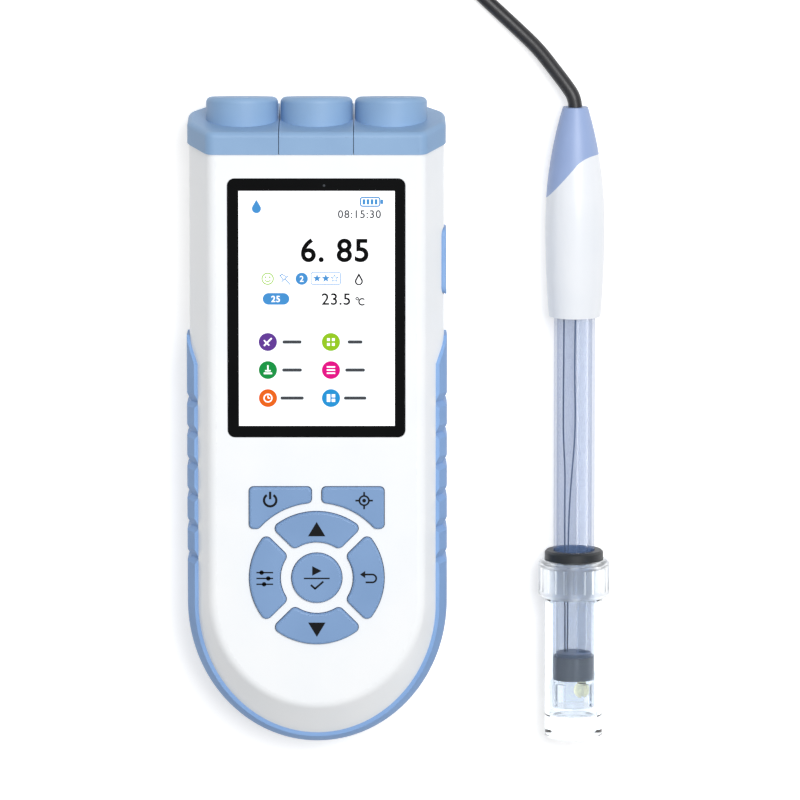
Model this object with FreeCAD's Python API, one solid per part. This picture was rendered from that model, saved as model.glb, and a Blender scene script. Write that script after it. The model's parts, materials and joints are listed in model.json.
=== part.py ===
"""Portable pH meter with its electrode: one STEP file per piece.

Millimetres. X runs across the meter, Y along it towards the connector end, Z up out of the
screen. The origin is the middle of the flat back, on the surface that the meter lies on.
"""

import FreeCAD, Part
import math
import os

V = FreeCAD.Vector

# Housing: one outline is lofted through four heights
BACK_Z = 0.0
LOWER_SIDE_Z = 9.0
UPPER_SIDE_Z = 21.5
FRONT_Z = 34.0
BACK_HALF = 29.5
SIDE_HALF = 36.5
SIDE_DRAFT = 0.2
FRONT_HALF = 30.5
BACK_CENTRE_Y = -46.0
SIDE_CENTRE_Y = -46.7
FRONT_CENTRE_Y = -43.2
BACK_TAIL = 33.0
SIDE_TAIL = 40.7
FRONT_TAIL = 31.9
WALL = 2.4
PARTING_Z = 17.0
END_Y = 85.2
END_SLOPE = 6.0
FRONT_EDGE_R = 3.0
SIDE_EDGE_R = 8.0
BACK_EDGE_R = 2.0
EXTRA = 30.0

# Grip bumper bonded into a recess round the sides and tail
GRIP_PROUD = 0.9
GRIP_RECESS = 0.9
GRIP_BACK_Z = 5.0
GRIP_FRONT_Z = 26.5
GRIP_TAIL_Z = 24.0
GRIP_DROP_Y = -45.0
GRIP_TOP_Y = 31.0
GRIP_TAPER_Y = 7.5
GRIP_TAPER_Z = 6.0
NOTCH_COUNT = 6
NOTCH_PITCH = 9.1
NOTCH_FIRST_Y = 12.2
NOTCH_DEPTH = 1.25
NOTCH_ABOVE = 2.3
NOTCH_BELOW = 1.4

# Display stack under the front face
WINDOW_WIDTH = 50.6
WINDOW_LENGTH = 74.6
WINDOW_Y = 41.0
WINDOW_R = 2.0
WINDOW_THICK = 1.3
WINDOW_POCKET = 1.2
WINDOW_GAP = 0.15
VIEW_WIDTH = 45.8
VIEW_LENGTH = 69.6
PANEL_WIDTH = 48.6
PANEL_LENGTH = 71.0
PANEL_THICK = 2.9
PANEL_GAP = 0.1
FRAME_RAIL = 3.0

# Keypad, centred on the enter key
PAD_Y = -37.3
ENTER_R = 7.2
ARC_INNER_R = 10.5
ARC_OUTER_R = 19.3
ARC_SLOT = 2.7
SIDE_KEY_GAP = 2.7
SIDE_KEY_IN = 1.5
SIDE_KEY_RISE = 7.2
SIDE_KEY_DROP = 4.9
SIDE_KEY_CORNER_R = 1.3
KEY_CORNER_R = 1.6
KEY_PROUD = 1.2
KEY_EDGE_R = 0.6
KEY_GAP = 0.2
KEY_FLANGE = 0.9
KEY_FLANGE_THICK = 1.4
KEY_UNDER_GAP = 0.2
KEY_TRAVEL = 0.8
DOME_GAP = 0.2
DOME_R = 2.8
DOME_TOP_R = 2.0
MAT_THICK = 1.2
MAT_MARGIN = 1.6
MAT_CORNER_R = 3.0

# Boards, battery and small parts inside
BOARD_THICK = 1.6
BOARD_TOP_Z = 26.0
BOARD_HALF = 28.5
BOARD_UP_Y = 76.0
BOARD_DOWN_Y = -60.5
BOARD_CORNER_R = 14.0
BOARD_POST_R = 2.0
BOARD_POST_X = 26.7
BOARD_POST_YS = (68.0, 4.0, -40.0)
BOARD_SCREW_R = 0.9
BOARD_SCREW_HEAD_R = 1.7
BOARD_SCREW_HEAD = 1.2
BOARD_SCREW_BITE = 4.0
PILOT_GAP = 0.05
BATTERY_HALF = 19.0
BATTERY_THICK = 9.0
BATTERY_UP_Y = 0.0
BATTERY_DOWN_Y = -58.0
BATTERY_CORNER_R = 4.0
RIB_THICK = 1.6
RIB_HIGH = 5.0
RIB_GAP = 0.2
BUZZER_R = 4.6
BUZZER_THICK = 3.2
BUZZER_HOLE_R = 1.1
BUZZER_HOLE = 1.6
BUZZER_X = 12.0
BUZZER_Y = -24.0
CHIP_WIDTH = 16.0
CHIP_THICK = 1.8
CHIP_Y = 18.0

# Screws that close the housing from the back
SCREW_FROM_END = 6.2
LOWER_SCREW_X = 15.0
LOWER_SCREW_Y = -66.0
SCREW_R = 1.5
SCREW_HEAD_R = 2.5
SCREW_HEAD = 2.0
SCREW_RECESS_R = 2.8
SCREW_RECESS = 8.0
SCREW_POST_R = 4.0
SCREW_TIP_Z = 25.0
FRONT_POST_R = 2.4
GASKET_OUT = 1.15
GASKET_WIDE = 0.8
GASKET_HIGH = 0.8

# Connector end
PLATE_SINK = 1.0
PLATE_THICK = 2.4
PLATE_GROOVE = 1.0
PLATE_GAP = 0.1
SOCKET_EDGE = 15.2
SOCKET_Z = 17.5
SOCKET_BODY_R = 6.0
SOCKET_BODY = 9.0
SOCKET_NUT_R = 6.8
SOCKET_NUT = 1.8
SOCKET_REACH = 9.6
THREAD_R = 4.83
PLATE_HOLE_GAP = 0.1
LUG_R = 0.9
LUG_REACH = 5.55
LUG_INSET = 2.6
BNC_BORE_R = 4.1
BNC_BORE = 8.0
BNC_CORE_R = 2.4
BNC_PIN_HOLE_R = 0.7
PHONO_R = 4.1
PHONO_HOLE_R = 1.6
MULTI_R = 5.4
MULTI_BORE_R = 4.2
MULTI_PIN_R = 0.5
MULTI_PIN_RING_R = 2.6
MULTI_PIN_COUNT = 5
CAP_FLANGE = 6.4
CAP_PROUD = 0.5
CAP_SEAM = 0.2
CAP_BOSS_R = 10.3
CAP_TOP_Y = 99.6
CAP_END_SLOPE = 6.5
CAP_TOP_EDGE_R = 1.6
CAP_RIM_R = 1.6
CAP_SEAT_GAP = 0.1
CAP_BORE_GAP = 0.25
CAP_NUT_GAP = 0.5
CAP_ROOF = 1.8

# USB port on the right side
USB_Y = 52.7
USB_Z = 17.4
FLAP_LENGTH = 18.8
FLAP_HEIGHT = 10.8
FLAP_THICK = 1.5
FLAP_PROUD = 0.6
FLAP_GAP = 0.35
FLAP_SEAT_GAP = 0.1
FLAP_EDGE_R = 0.5
FLAP_CORNER_R = 2.0
FLAP_BEAD_R = 0.3
FLAP_BEAD_IN = 0.2
USB_WIDE = 8.9
USB_HIGH = 3.2
USB_DEEP = 7.4
USB_SHELL = 0.4
USB_CORNER_R = 1.45
USB_TONGUE_WIDE = 5.9
USB_TONGUE_THICK = 0.8
USB_TONGUE_SHORT = 1.6
USB_SINK = 0.3
USB_SLOT_GAP = 0.4
PLUG_TONGUE = 0.6
USB_BOARD_HALF_Y = 8.0
USB_BOARD_IN_X = 16.0
USB_BOARD_GAP = 0.6
USB_POST_R = 2.2
USB_POST_X = 19.0
USB_POST_Y = 5.0

# Electrode, along its own axis; it lies on its collar and handle
PROBE_X = 74.2
HANDLE_LOW_Y = 34.7
HANDLE_LOW_R = 7.5
HANDLE_MAX_Y = 61.0
HANDLE_MAX_R = 8.6
BOOT_TOP_Y = 95.3
BOOT_TOP_R = 3.6
PARTING_R = 8.5
PARTING_LEVEL_X = 6.5
PARTING_LEVEL_Y = 81.8
PARTING_SLOPE = 49.0
SHAFT_R = 6.0
SHAFT_WALL = 0.9
SHAFT_TUCK = 12.0
SHAFT_END_Y = -64.8
STOPPER_END_Y = -71.6
STOPPER_SPIGOT = 1.0
GUARD_END_Y = -79.5
GUARD_WALL = 1.1
GUARD_SLOT = 3.4
INNER_X = 2.4
INNER_R = 1.7
INNER_WALL = 0.4
BULB_R = 2.4
BULB_Y = -75.0
WIRE_R = 0.22
FIT = 0.06

# Kinks of the two wires: distance from the axis and share of the way down
SENSING_KINKS = ((0.4, 0.0), (0.0, 0.25), (0.4, 0.41), (-1.6, 0.63), (-1.8, 1.0))
REFERENCE_KINKS = ((-3.0, 0.0), (-3.2, 0.42), (-2.6, 0.52), (-2.7, 0.62), (-2.5, 1.0))

# Storage bottle, screw collar and seal ring
RING_TOP_Y = -33.7
RING_THICK = 3.3
RING_EDGE = 0.55
RING_R = 8.5
COLLAR_TOP_Y = -36.5
COLLAR_END_Y = -47.4
COLLAR_R = 10.3
COLLAR_ROOF = 2.2
COLLAR_CHAMFER = 1.0
COLLAR_HOLE_GAP = 0.4
KNURL_COUNT = 24
KNURL_RING_R = COLLAR_R + 0.2
KNURL_R = 0.6
KNURL_INSET = 2.0
NECK_R = 8.0
NECK_BORE_R = 6.6
NECK_GAP = 0.25
NECK_TOP_GAP = 0.3
BOTTLE_R = 8.4
BOTTLE_WALL = 1.2
BOTTLE_END_Y = -88.5
BOTTLE_FLOOR_Y = -82.5
BOTTLE_DISH = 1.2
SHOULDER_GAP = 0.2

# Lead: a loose stretch, a put-away coil, a tail and a coaxial plug
CORD_R = 2.0
BEND_SHARE = 0.45
COIL_X = 50.0
COIL_Y = 162.0
COIL_MID_R = 23.0
COIL_ACROSS = 3
COIL_LAYERS = 2
COIL_STUB = 15.4
COIL_JOIN_DEG = 225.0
ROUTE = (
    (71.6, 100.4, 7.3),
    (68.2, 105.8, 6.0),
    (63.6, 111.6, 4.3),
    (57.4, 117.4, 2.9),
    (49.2, 124.9, 2.1),
)
TAIL_MID = (16.9, 157.1, 6.6)
PLUG_START = (13.7, 160.4)
PLUG_HEADING_DEG = 137.0
PLUG_BOOT = 15.0
PLUG_BOOT_LOW_R = 2.6
PLUG_BOOT_R = 4.6
PLUG_RING_COUNT = 3
PLUG_RING_FIRST = 3.0
PLUG_RING_PITCH = 3.3
PLUG_RING = 1.2
PLUG_RING_DEEP = 0.5
PLUG_CRIMP = 8.0
PLUG_CRIMP_R = 5.4
PLUG_SLEEVE_R = 7.2
PLUG_SLEEVE = 15.5
PLUG_SLEEVE_WALL = 1.6
PLUG_BARREL_R = 4.0
PLUG_BARREL_WALL = 0.5
PLUG_BARREL_SHORT = 1.0
PLUG_COLLAR = 4.0
PLUG_PIN_R = 0.68
PLUG_RIBS = 12
PLUG_RIB_R = 0.6
PLUG_RIB = 6.0
PLUG_SLOT = 2.0
PLUG_SLOT_LONG = 5.0


def box(low, high):
    return Part.makeBox(high[0] - low[0], high[1] - low[1], high[2] - low[2], V(*low))


def upright(x, y, low_z, high_z, radius):
    """A cylinder along Z."""
    return Part.makeCylinder(radius, high_z - low_z, V(x, y, low_z))


def along(x, z, low_y, high_y, radius):
    """A cylinder along Y."""
    return Part.makeCylinder(radius, high_y - low_y, V(x, low_y, z), V(0, 1, 0))


def fuse(shapes):
    first = shapes[0]
    if len(shapes) == 1:
        return first
    return first.fuse(shapes[1:]).removeSplitter()


def mirrored(shape):
    return shape.mirror(V(0, 0, 0), V(1, 0, 0))


def round_edges(shape, radius, wanted):
    """The shape with every edge that wanted() picks rounded."""
    return shape.makeFillet(radius, [edge for edge in shape.Edges if wanted(edge)])


def is_upright(edge):
    box_of = edge.BoundBox
    return box_of.XLength < 1e-6 and box_of.YLength < 1e-6


def lies_at(edge, z):
    box_of = edge.BoundBox
    return abs(box_of.ZMin - z) < 1e-4 and abs(box_of.ZMax - z) < 1e-4


def rounded_plate(low, high, radius):
    return round_edges(box(low, high), radius, is_upright)


def revolved(profile):
    """A solid of revolution about Y from (radius, y) points."""
    points = [V(radius, y, 0) for radius, y in profile]
    face = Part.Face(Part.makePolygon(points + points[:1]))
    return face.revolve(V(0, 0, 0), V(0, 1, 0), 360)


# Housing


def outline(half, centre_y, tail, z):
    """Straight sides, a half ellipse at the tail and a square far end, at one height."""
    far_y = END_Y + EXTRA
    left = V(-half, centre_y, z)
    right = V(half, centre_y, z)
    middle = V(0, centre_y, z)
    low = V(0, centre_y - tail, z)
    if tail > half:
        curve = Part.Arc(Part.Ellipse(low, right, middle), -math.pi / 2, math.pi / 2)
    else:
        curve = Part.Arc(Part.Ellipse(left, low, middle), 0, math.pi)
    far_left = V(-half, far_y, z)
    far_right = V(half, far_y, z)
    edges = [
        Part.LineSegment(far_left, left).toShape(),
        curve.toShape(),
        Part.LineSegment(right, far_right).toShape(),
        Part.LineSegment(far_right, far_left).toShape(),
    ]
    return Part.Wire(edges)


def body_form(grow=0.0, softened=False):
    """The housing's outer form, grown or shrunk on all sides."""
    levels = (
        (BACK_HALF, BACK_CENTRE_Y, BACK_TAIL, BACK_Z - grow),
        (SIDE_HALF - SIDE_DRAFT, SIDE_CENTRE_Y, SIDE_TAIL - SIDE_DRAFT, LOWER_SIDE_Z),
        (SIDE_HALF, SIDE_CENTRE_Y, SIDE_TAIL, UPPER_SIDE_Z),
        (FRONT_HALF, FRONT_CENTRE_Y, FRONT_TAIL, FRONT_Z + grow),
    )
    wires = [outline(half + grow, centre, tail + grow, z) for half, centre, tail, z in levels]
    form = Part.makeLoft(wires, True, True)
    if not softened:
        return form
    for level, radius in zip(levels, (BACK_EDGE_R, SIDE_EDGE_R, SIDE_EDGE_R, FRONT_EDGE_R)):
        form = round_edges(form, radius, lambda edge: is_rim(edge, level[3]))
    return form


def is_rim(edge, z):
    """An edge round the body at height z, but not the straight far end."""
    return lies_at(edge, z) and edge.BoundBox.YMin < END_Y


def end_slab(low, high):
    """The space between two planes parallel to the sloped connector end."""
    reach = 4 * SIDE_HALF
    slab = Part.makeBox(2 * reach, high - low, 2 * reach, V(-reach, low, -reach))
    slab.rotate(V(0, 0, 0), V(1, 0, 0), END_SLOPE)
    slab.translate(V(0, END_Y, FRONT_Z))
    return slab


def end_y(z, offset=0.0):
    """Where the sloped end, moved out by offset, crosses height z."""
    slope = math.radians(END_SLOPE)
    return END_Y + (FRONT_Z - z) * math.tan(slope) + offset / math.cos(slope)


def level_box(low_z, high_z):
    reach = 4 * SIDE_HALF
    return box((-reach, -2 * reach, low_z), (reach, 2 * reach, high_z))


def grip_region():
    """The space that the bumper may fill: a band with tapered upper ends, lower at the tail."""
    reach = 2 * SIDE_HALF
    tail_y = SIDE_CENTRE_Y - 2 * SIDE_TAIL
    points = (
        (tail_y, GRIP_BACK_Z),
        (GRIP_TOP_Y - GRIP_TAPER_Y, GRIP_BACK_Z),
        (GRIP_TOP_Y, GRIP_BACK_Z + GRIP_TAPER_Z),
        (GRIP_TOP_Y, GRIP_FRONT_Z - GRIP_TAPER_Z),
        (GRIP_TOP_Y - GRIP_TAPER_Y, GRIP_FRONT_Z),
        (GRIP_DROP_Y, GRIP_FRONT_Z),
        (SIDE_CENTRE_Y - SIDE_TAIL, GRIP_TAIL_Z),
        (tail_y, GRIP_TAIL_Z),
    )
    corners = [V(-reach, y, z) for y, z in points]
    face = Part.Face(Part.makePolygon(corners + corners[:1]))
    return face.extrude(V(2 * reach, 0, 0))


def grip_recess():
    return grip_region().cut(body_form(-GRIP_RECESS))


def finger_notch(y):
    """A V groove across the bumper's right side that follows the bevel over its front."""
    outer = SIDE_HALF + GRIP_PROUD
    bottom = outer - NOTCH_DEPTH
    scale = 1.0 + 1.0 / NOTCH_DEPTH
    reach = bottom + NOTCH_DEPTH * scale
    corners = [
        V(bottom, y, UPPER_SIDE_Z),
        V(reach, y + NOTCH_ABOVE * scale, UPPER_SIDE_Z),
        V(reach, y - NOTCH_BELOW * scale, UPPER_SIDE_Z),
    ]
    face = Part.Face(Part.makePolygon(corners + corners[:1]))
    down = face.extrude(V(0, 0, BACK_Z - UPPER_SIDE_Z))
    up = face.extrude(V(FRONT_HALF - SIDE_HALF, 0, FRONT_Z - UPPER_SIDE_Z))
    return down.fuse(up)


def grip_bumper():
    band = body_form(GRIP_PROUD, softened=True).common(grip_region())
    for step in range(NOTCH_COUNT):
        notch = finger_notch(NOTCH_FIRST_Y - step * NOTCH_PITCH)
        band = band.cut(notch).cut(mirrored(notch))
    return band.cut(body_form(-GRIP_RECESS))


def shell_blank():
    """The closed hollow housing, before it is parted."""
    blank = body_form(0.0, softened=True).cut(body_form(-WALL))
    blank = blank.cut(end_slab(0, 4 * EXTRA))
    blank = blank.cut(plate_form(WALL - PLATE_GROOVE, 0.0))
    return blank.cut(grip_recess()).cut(flap_pocket())


def plate_form(inset, gap):
    """The connector plate's outline, between its two faces less a gap on each side."""
    outer = -PLATE_SINK
    return body_form(-inset).common(end_slab(outer - PLATE_THICK - gap, outer + gap))


def screw_points():
    """Two screws between the sockets and two at the tail."""
    spots = ((socket_pitch() / 2, END_Y - SCREW_FROM_END), (LOWER_SCREW_X, LOWER_SCREW_Y))
    return [(side * x, y) for x, y in spots for side in (-1, 1)]


def board_posts():
    return [(side * BOARD_POST_X, y) for y in BOARD_POST_YS for side in (-1, 1)]


def inner_front():
    return FRONT_Z - WALL


def window_box(grow, low_z, high_z):
    half_x = WINDOW_WIDTH / 2 + grow
    half_y = WINDOW_LENGTH / 2 + grow
    low = (-half_x, WINDOW_Y - half_y, low_z)
    high = (half_x, WINDOW_Y + half_y, high_z)
    return rounded_plate(low, high, WINDOW_R + grow)


def view_box(low_z, high_z):
    low = (-VIEW_WIDTH / 2, WINDOW_Y - VIEW_LENGTH / 2, low_z)
    high = (VIEW_WIDTH / 2, WINDOW_Y + VIEW_LENGTH / 2, high_z)
    return box(low, high)


def front_cover():
    cover = shell_blank().common(level_box(PARTING_Z, FRONT_Z + WALL))
    posts = [upright(x, y, PARTING_Z, FRONT_Z - WALL / 2, FRONT_POST_R) for x, y in screw_points()]
    posts += [upright(x, y, BOARD_TOP_Z, FRONT_Z - WALL / 2, BOARD_POST_R) for x, y in board_posts()]
    cover = fuse([cover] + posts).common(body_form(-WALL / 2).fuse(cover))
    for x, y in screw_points():
        cover = cover.cut(upright(x, y, PARTING_Z, SCREW_TIP_Z + 1, SCREW_R + PILOT_GAP))
    for x, y in board_posts():
        pilot_top = BOARD_TOP_Z + BOARD_SCREW_BITE + PILOT_GAP
        cover = cover.cut(upright(x, y, BOARD_TOP_Z, pilot_top, BOARD_SCREW_R + PILOT_GAP))
    cover = cover.cut(window_box(WINDOW_GAP, FRONT_Z - WINDOW_POCKET, FRONT_Z + 1))
    cover = cover.cut(view_box(inner_front() - 1, FRONT_Z))
    for key in key_forms(KEY_GAP, inner_front() - 1, FRONT_Z + 1).values():
        cover = cover.cut(key)
    return cover


def rear_cover():
    cover = shell_blank().common(level_box(BACK_Z - WALL, PARTING_Z))
    floor = BACK_Z + WALL / 2
    posts = [upright(x, y, floor, PARTING_Z, SCREW_POST_R) for x, y in screw_points()]
    for side in (-1, 1):
        y = USB_Y + side * USB_POST_Y
        posts.append(upright(USB_POST_X, y, floor, usb_board_z() - BOARD_THICK, USB_POST_R))
    posts += battery_ribs(floor)
    cover = fuse([cover] + posts).common(body_form(-WALL / 2).fuse(cover))
    for x, y in screw_points():
        cover = cover.cut(upright(x, y, BACK_Z - 1, SCREW_RECESS, SCREW_RECESS_R))
        cover = cover.cut(upright(x, y, BACK_Z, PARTING_Z + 1, SCREW_R + PILOT_GAP))
    return cover.cut(gasket_form())


def battery_ribs(floor):
    """Low ribs that box the battery in on all four sides."""
    inside_x = BATTERY_HALF + RIB_GAP
    top = BACK_Z + WALL + RIB_HIGH
    up = BATTERY_UP_Y + RIB_GAP
    down = BATTERY_DOWN_Y - RIB_GAP
    span = BATTERY_HALF / 2
    return [
        box((inside_x, down + span, floor), (inside_x + RIB_THICK, up - span, top)),
        box((-inside_x - RIB_THICK, down + span, floor), (-inside_x, up - span, top)),
        box((-span, up, floor), (span, up + RIB_THICK, top)),
        box((-span / 2, down - RIB_THICK, floor), (span / 2, down, top)),
    ]


def gasket_form():
    """A U-shaped cord seal in the rear cover's rim."""
    ring = body_form(-GASKET_OUT).cut(body_form(-GASKET_OUT - GASKET_WIDE))
    ring = ring.common(level_box(PARTING_Z - GASKET_HIGH, PARTING_Z))
    ring = ring.cut(end_slab(-PLATE_SINK - PLATE_THICK - WALL, 4 * EXTRA))
    return ring.cut(flap_plate(FLAP_GAP + WALL, 0, 2 * SIDE_HALF))


def housing_screws():
    screws = []
    for x, y in screw_points():
        head = upright(x, y, SCREW_RECESS - SCREW_HEAD, SCREW_RECESS, SCREW_HEAD_R)
        screws.append(head.fuse(upright(x, y, SCREW_RECESS, SCREW_TIP_Z, SCREW_R)))
    return Part.makeCompound(screws)


# Display


def display_window():
    low = FRONT_Z - WINDOW_POCKET
    return window_box(0.0, low, low + WINDOW_THICK)


def panel_top():
    return inner_front() - PANEL_GAP


def panel_plate(low_z, high_z, margin=0.0):
    half_x = PANEL_WIDTH / 2 - margin
    half_y = PANEL_LENGTH / 2 - margin
    return box((-half_x, WINDOW_Y - half_y, low_z), (half_x, WINDOW_Y + half_y, high_z))


def display_panel():
    return panel_plate(panel_top() - PANEL_THICK, panel_top())


def display_frame():
    """The open tray that carries the panel on the board."""
    top = panel_top() - PANEL_THICK
    ring = panel_plate(BOARD_TOP_Z, top)
    return ring.cut(panel_plate(BOARD_TOP_Z - 1, top + 1, FRAME_RAIL))


# Keypad


def arc_key(heading, grow, low_z, high_z):
    """A quarter of a ring between diagonal slots."""
    ring = upright(0, PAD_Y, low_z, high_z, ARC_OUTER_R + grow)
    ring = ring.cut(upright(0, PAD_Y, low_z - 1, high_z + 1, ARC_INNER_R - grow))
    near = ARC_SLOT / 2 - grow
    far = 2 * ARC_OUTER_R
    quadrant = box((near, near, low_z - 1), (far, far, high_z + 1))
    quadrant.rotate(V(0, 0, 0), V(0, 0, 1), heading - 45)
    quadrant.translate(V(0, PAD_Y, 0))
    return round_edges(ring.common(quadrant), KEY_CORNER_R + grow, is_upright)


def side_key(grow, low_z, high_z):
    """The right one of the two upper keys, hollowed by an arc concentric with the pad."""
    low = (SIDE_KEY_IN - grow, PAD_Y + ARC_OUTER_R - SIDE_KEY_DROP - grow, low_z)
    high = (ARC_OUTER_R + grow, PAD_Y + side_key_top() + grow, high_z)
    hollow = upright(0, PAD_Y, low_z - 1, high_z + 1, ARC_OUTER_R + SIDE_KEY_GAP - grow)
    return round_edges(box(low, high).cut(hollow), SIDE_KEY_CORNER_R + grow / 2, is_upright)


def side_key_top():
    """The upper keys' far edge, from the middle of the pad."""
    return ARC_OUTER_R + SIDE_KEY_RISE


def key_forms(grow, low_z, high_z):
    right = side_key(grow, low_z, high_z)
    return {
        "key_power": mirrored(right),
        "key_calibrate": right,
        "key_up": arc_key(90, grow, low_z, high_z),
        "key_set": arc_key(180, grow, low_z, high_z),
        "key_down": arc_key(270, grow, low_z, high_z),
        "key_escape": arc_key(0, grow, low_z, high_z),
        "key_enter": upright(0, PAD_Y, low_z, high_z, ENTER_R + grow),
    }


def key_bottom():
    return inner_front() - KEY_UNDER_GAP - KEY_FLANGE_THICK


def keys():
    """Each key is a cap through the cover on a flange that the cover holds down."""
    top = FRONT_Z + KEY_PROUD
    seat = inner_front() - KEY_UNDER_GAP
    caps = key_forms(0.0, key_bottom(), top)
    flanges = key_forms(KEY_FLANGE, key_bottom(), seat)
    made = {}
    for name, cap in caps.items():
        cap = round_edges(cap, KEY_EDGE_R, lambda edge: lies_at(edge, top))
        made[name] = cap.fuse(flanges[name]).removeSplitter()
    return made


def dome_points():
    arc = (ARC_INNER_R + ARC_OUTER_R) / 2
    side_x = (SIDE_KEY_IN + ARC_OUTER_R) / 2
    side_y = side_key_top() - (SIDE_KEY_RISE + SIDE_KEY_DROP) / 4
    offsets = [(0, 0), (arc, 0), (-arc, 0), (0, arc), (0, -arc)]
    offsets += [(side_x, side_y), (-side_x, side_y)]
    return [(x, PAD_Y + y) for x, y in offsets]


def key_mat():
    """A rubber sheet on the board with one dome under each key."""
    sheet_top = BOARD_TOP_Z + MAT_THICK
    dome_top = key_bottom() - KEY_TRAVEL - DOME_GAP
    half = ARC_OUTER_R + MAT_MARGIN
    low = (-half, PAD_Y - half, BOARD_TOP_Z)
    high = (half, PAD_Y + side_key_top() + MAT_MARGIN, sheet_top)
    pieces = [rounded_plate(low, high, MAT_CORNER_R)]
    for x, y in dome_points():
        at = V(x, y, sheet_top)
        pieces.append(Part.makeCone(DOME_R, DOME_TOP_R, dome_top - sheet_top, at))
    return fuse(pieces)


# Inside


def main_board():
    low_z = BOARD_TOP_Z - BOARD_THICK
    low = (-BOARD_HALF, BOARD_DOWN_Y, low_z)
    board = box(low, (BOARD_HALF, BOARD_UP_Y, BOARD_TOP_Z))
    board = round_edges(
        board,
        BOARD_CORNER_R,
        lambda edge: is_upright(edge) and edge.BoundBox.YMin < PAD_Y,
    )
    for x, y in board_posts():
        board = board.cut(upright(x, y, low_z - 1, BOARD_TOP_Z + 1, BOARD_SCREW_R + PILOT_GAP))
    half = CHIP_WIDTH / 2
    chip = box((-half, CHIP_Y - half, low_z - CHIP_THICK), (half, CHIP_Y + half, low_z))
    return board.fuse(chip)


def board_screws():
    head_top = BOARD_TOP_Z - BOARD_THICK
    tip = BOARD_TOP_Z + BOARD_SCREW_BITE
    screws = []
    for x, y in board_posts():
        head = upright(x, y, head_top - BOARD_SCREW_HEAD, head_top, BOARD_SCREW_HEAD_R)
        screws.append(head.fuse(upright(x, y, head_top, tip, BOARD_SCREW_R)))
    return Part.makeCompound(screws)


def buzzer():
    top = BOARD_TOP_Z - BOARD_THICK
    low = top - BUZZER_THICK
    can = upright(BUZZER_X, BUZZER_Y, low, top, BUZZER_R)
    return can.cut(upright(BUZZER_X, BUZZER_Y, low, low + BUZZER_HOLE, BUZZER_HOLE_R))


def battery_pack():
    floor = BACK_Z + WALL
    low = (-BATTERY_HALF, BATTERY_DOWN_Y, floor)
    high = (BATTERY_HALF, BATTERY_UP_Y, floor + BATTERY_THICK)
    return rounded_plate(low, high, BATTERY_CORNER_R)


# Connector end


def socket_pitch():
    """The sockets spread with the housing, with room for a screw post between two of them."""
    return max(SIDE_HALF - SOCKET_EDGE, 2 * (SOCKET_BODY_R + SCREW_POST_R + FIT))


def socket_xs():
    return (-socket_pitch(), 0.0, socket_pitch())


def plate_front():
    """The connector plate's outer face at the sockets' height."""
    return end_y(SOCKET_Z, -PLATE_SINK)


def plate_back():
    return end_y(SOCKET_Z, -PLATE_SINK - PLATE_THICK)


def end_plate():
    plate = plate_form(WALL - PLATE_GROOVE + PLATE_GAP, -PLATE_GAP)
    nut_seat = plate_front() - seat_sink()
    body_seat = plate_back() + seat_sink()
    for x, radius in zip(socket_xs(), socket_radii()):
        plate = plate.cut(along(x, SOCKET_Z, 0, nut_seat + WALL, radius + PLATE_HOLE_GAP))
        plate = plate.cut(along(x, SOCKET_Z, nut_seat, END_Y + EXTRA, SOCKET_NUT_R + PLATE_GAP))
        plate = plate.cut(along(x, SOCKET_Z, 0, body_seat, SOCKET_BODY_R + PLATE_GAP))
    return plate


def seat_sink():
    """How far a square seat is spot-faced into the sloped plate."""
    return SOCKET_NUT_R * math.tan(math.radians(END_SLOPE))


def socket_radii():
    return (THREAD_R, PHONO_R, MULTI_R)


def socket_stem(x, radius):
    """A body behind the plate and a barrel through it."""
    back = plate_back() + seat_sink()
    body = along(x, SOCKET_Z, back - SOCKET_BODY, back, SOCKET_BODY_R)
    barrel = along(x, SOCKET_Z, back - WALL, plate_front() + SOCKET_REACH, radius)
    return body.fuse(barrel)


def ph_socket():
    """A bayonet coaxial jack with two lugs."""
    x = socket_xs()[0]
    tip = plate_front() + SOCKET_REACH
    jack = socket_stem(x, THREAD_R)
    lug_y = tip - LUG_INSET
    lug = Part.makeCylinder(LUG_R, 2 * LUG_REACH, V(x, lug_y, SOCKET_Z - LUG_REACH), V(0, 0, 1))
    jack = jack.fuse(lug)
    jack = jack.cut(along(x, SOCKET_Z, tip - BNC_BORE, tip + 1, BNC_BORE_R))
    core = along(x, SOCKET_Z, tip - BNC_BORE - 1, tip - LUG_R, BNC_CORE_R)
    jack = jack.fuse(core)
    return jack.cut(along(x, SOCKET_Z, tip - BNC_BORE, tip + 1, BNC_PIN_HOLE_R))


def temperature_socket():
    """A phono jack: a plain barrel with a centre hole."""
    x = socket_xs()[1]
    tip = plate_front() + SOCKET_REACH
    return socket_stem(x, PHONO_R).cut(along(x, SOCKET_Z, tip - BNC_BORE, tip + 1, PHONO_HOLE_R))


def auxiliary_socket():
    """A round multi-pin jack."""
    x = socket_xs()[2]
    tip = plate_front() + SOCKET_REACH
    jack = socket_stem(x, MULTI_R).cut(along(x, SOCKET_Z, tip - BNC_BORE, tip + 1, MULTI_BORE_R))
    for step in range(MULTI_PIN_COUNT):
        pin_x, low, pin_z = ring_point(x, tip - BNC_BORE - 1, MULTI_PIN_RING_R, step / MULTI_PIN_COUNT)
        jack = jack.fuse(along(pin_x, pin_z, low, tip - LUG_INSET, MULTI_PIN_R))
    return jack


def socket_nuts():
    """One hexagon nut on each socket's thread."""
    nuts = []
    start = plate_front() - seat_sink()
    for x, radius in zip(socket_xs(), socket_radii()):
        corners = [V(*ring_point(x, start, SOCKET_NUT_R, step / 6)) for step in range(7)]
        nut = Part.Face(Part.makePolygon(corners)).extrude(V(0, SOCKET_NUT, 0))
        nuts.append(nut.cut(along(x, SOCKET_Z, start - 1, start + SOCKET_NUT + 1, radius + FIT)))
    return Part.makeCompound(nuts)


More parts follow.
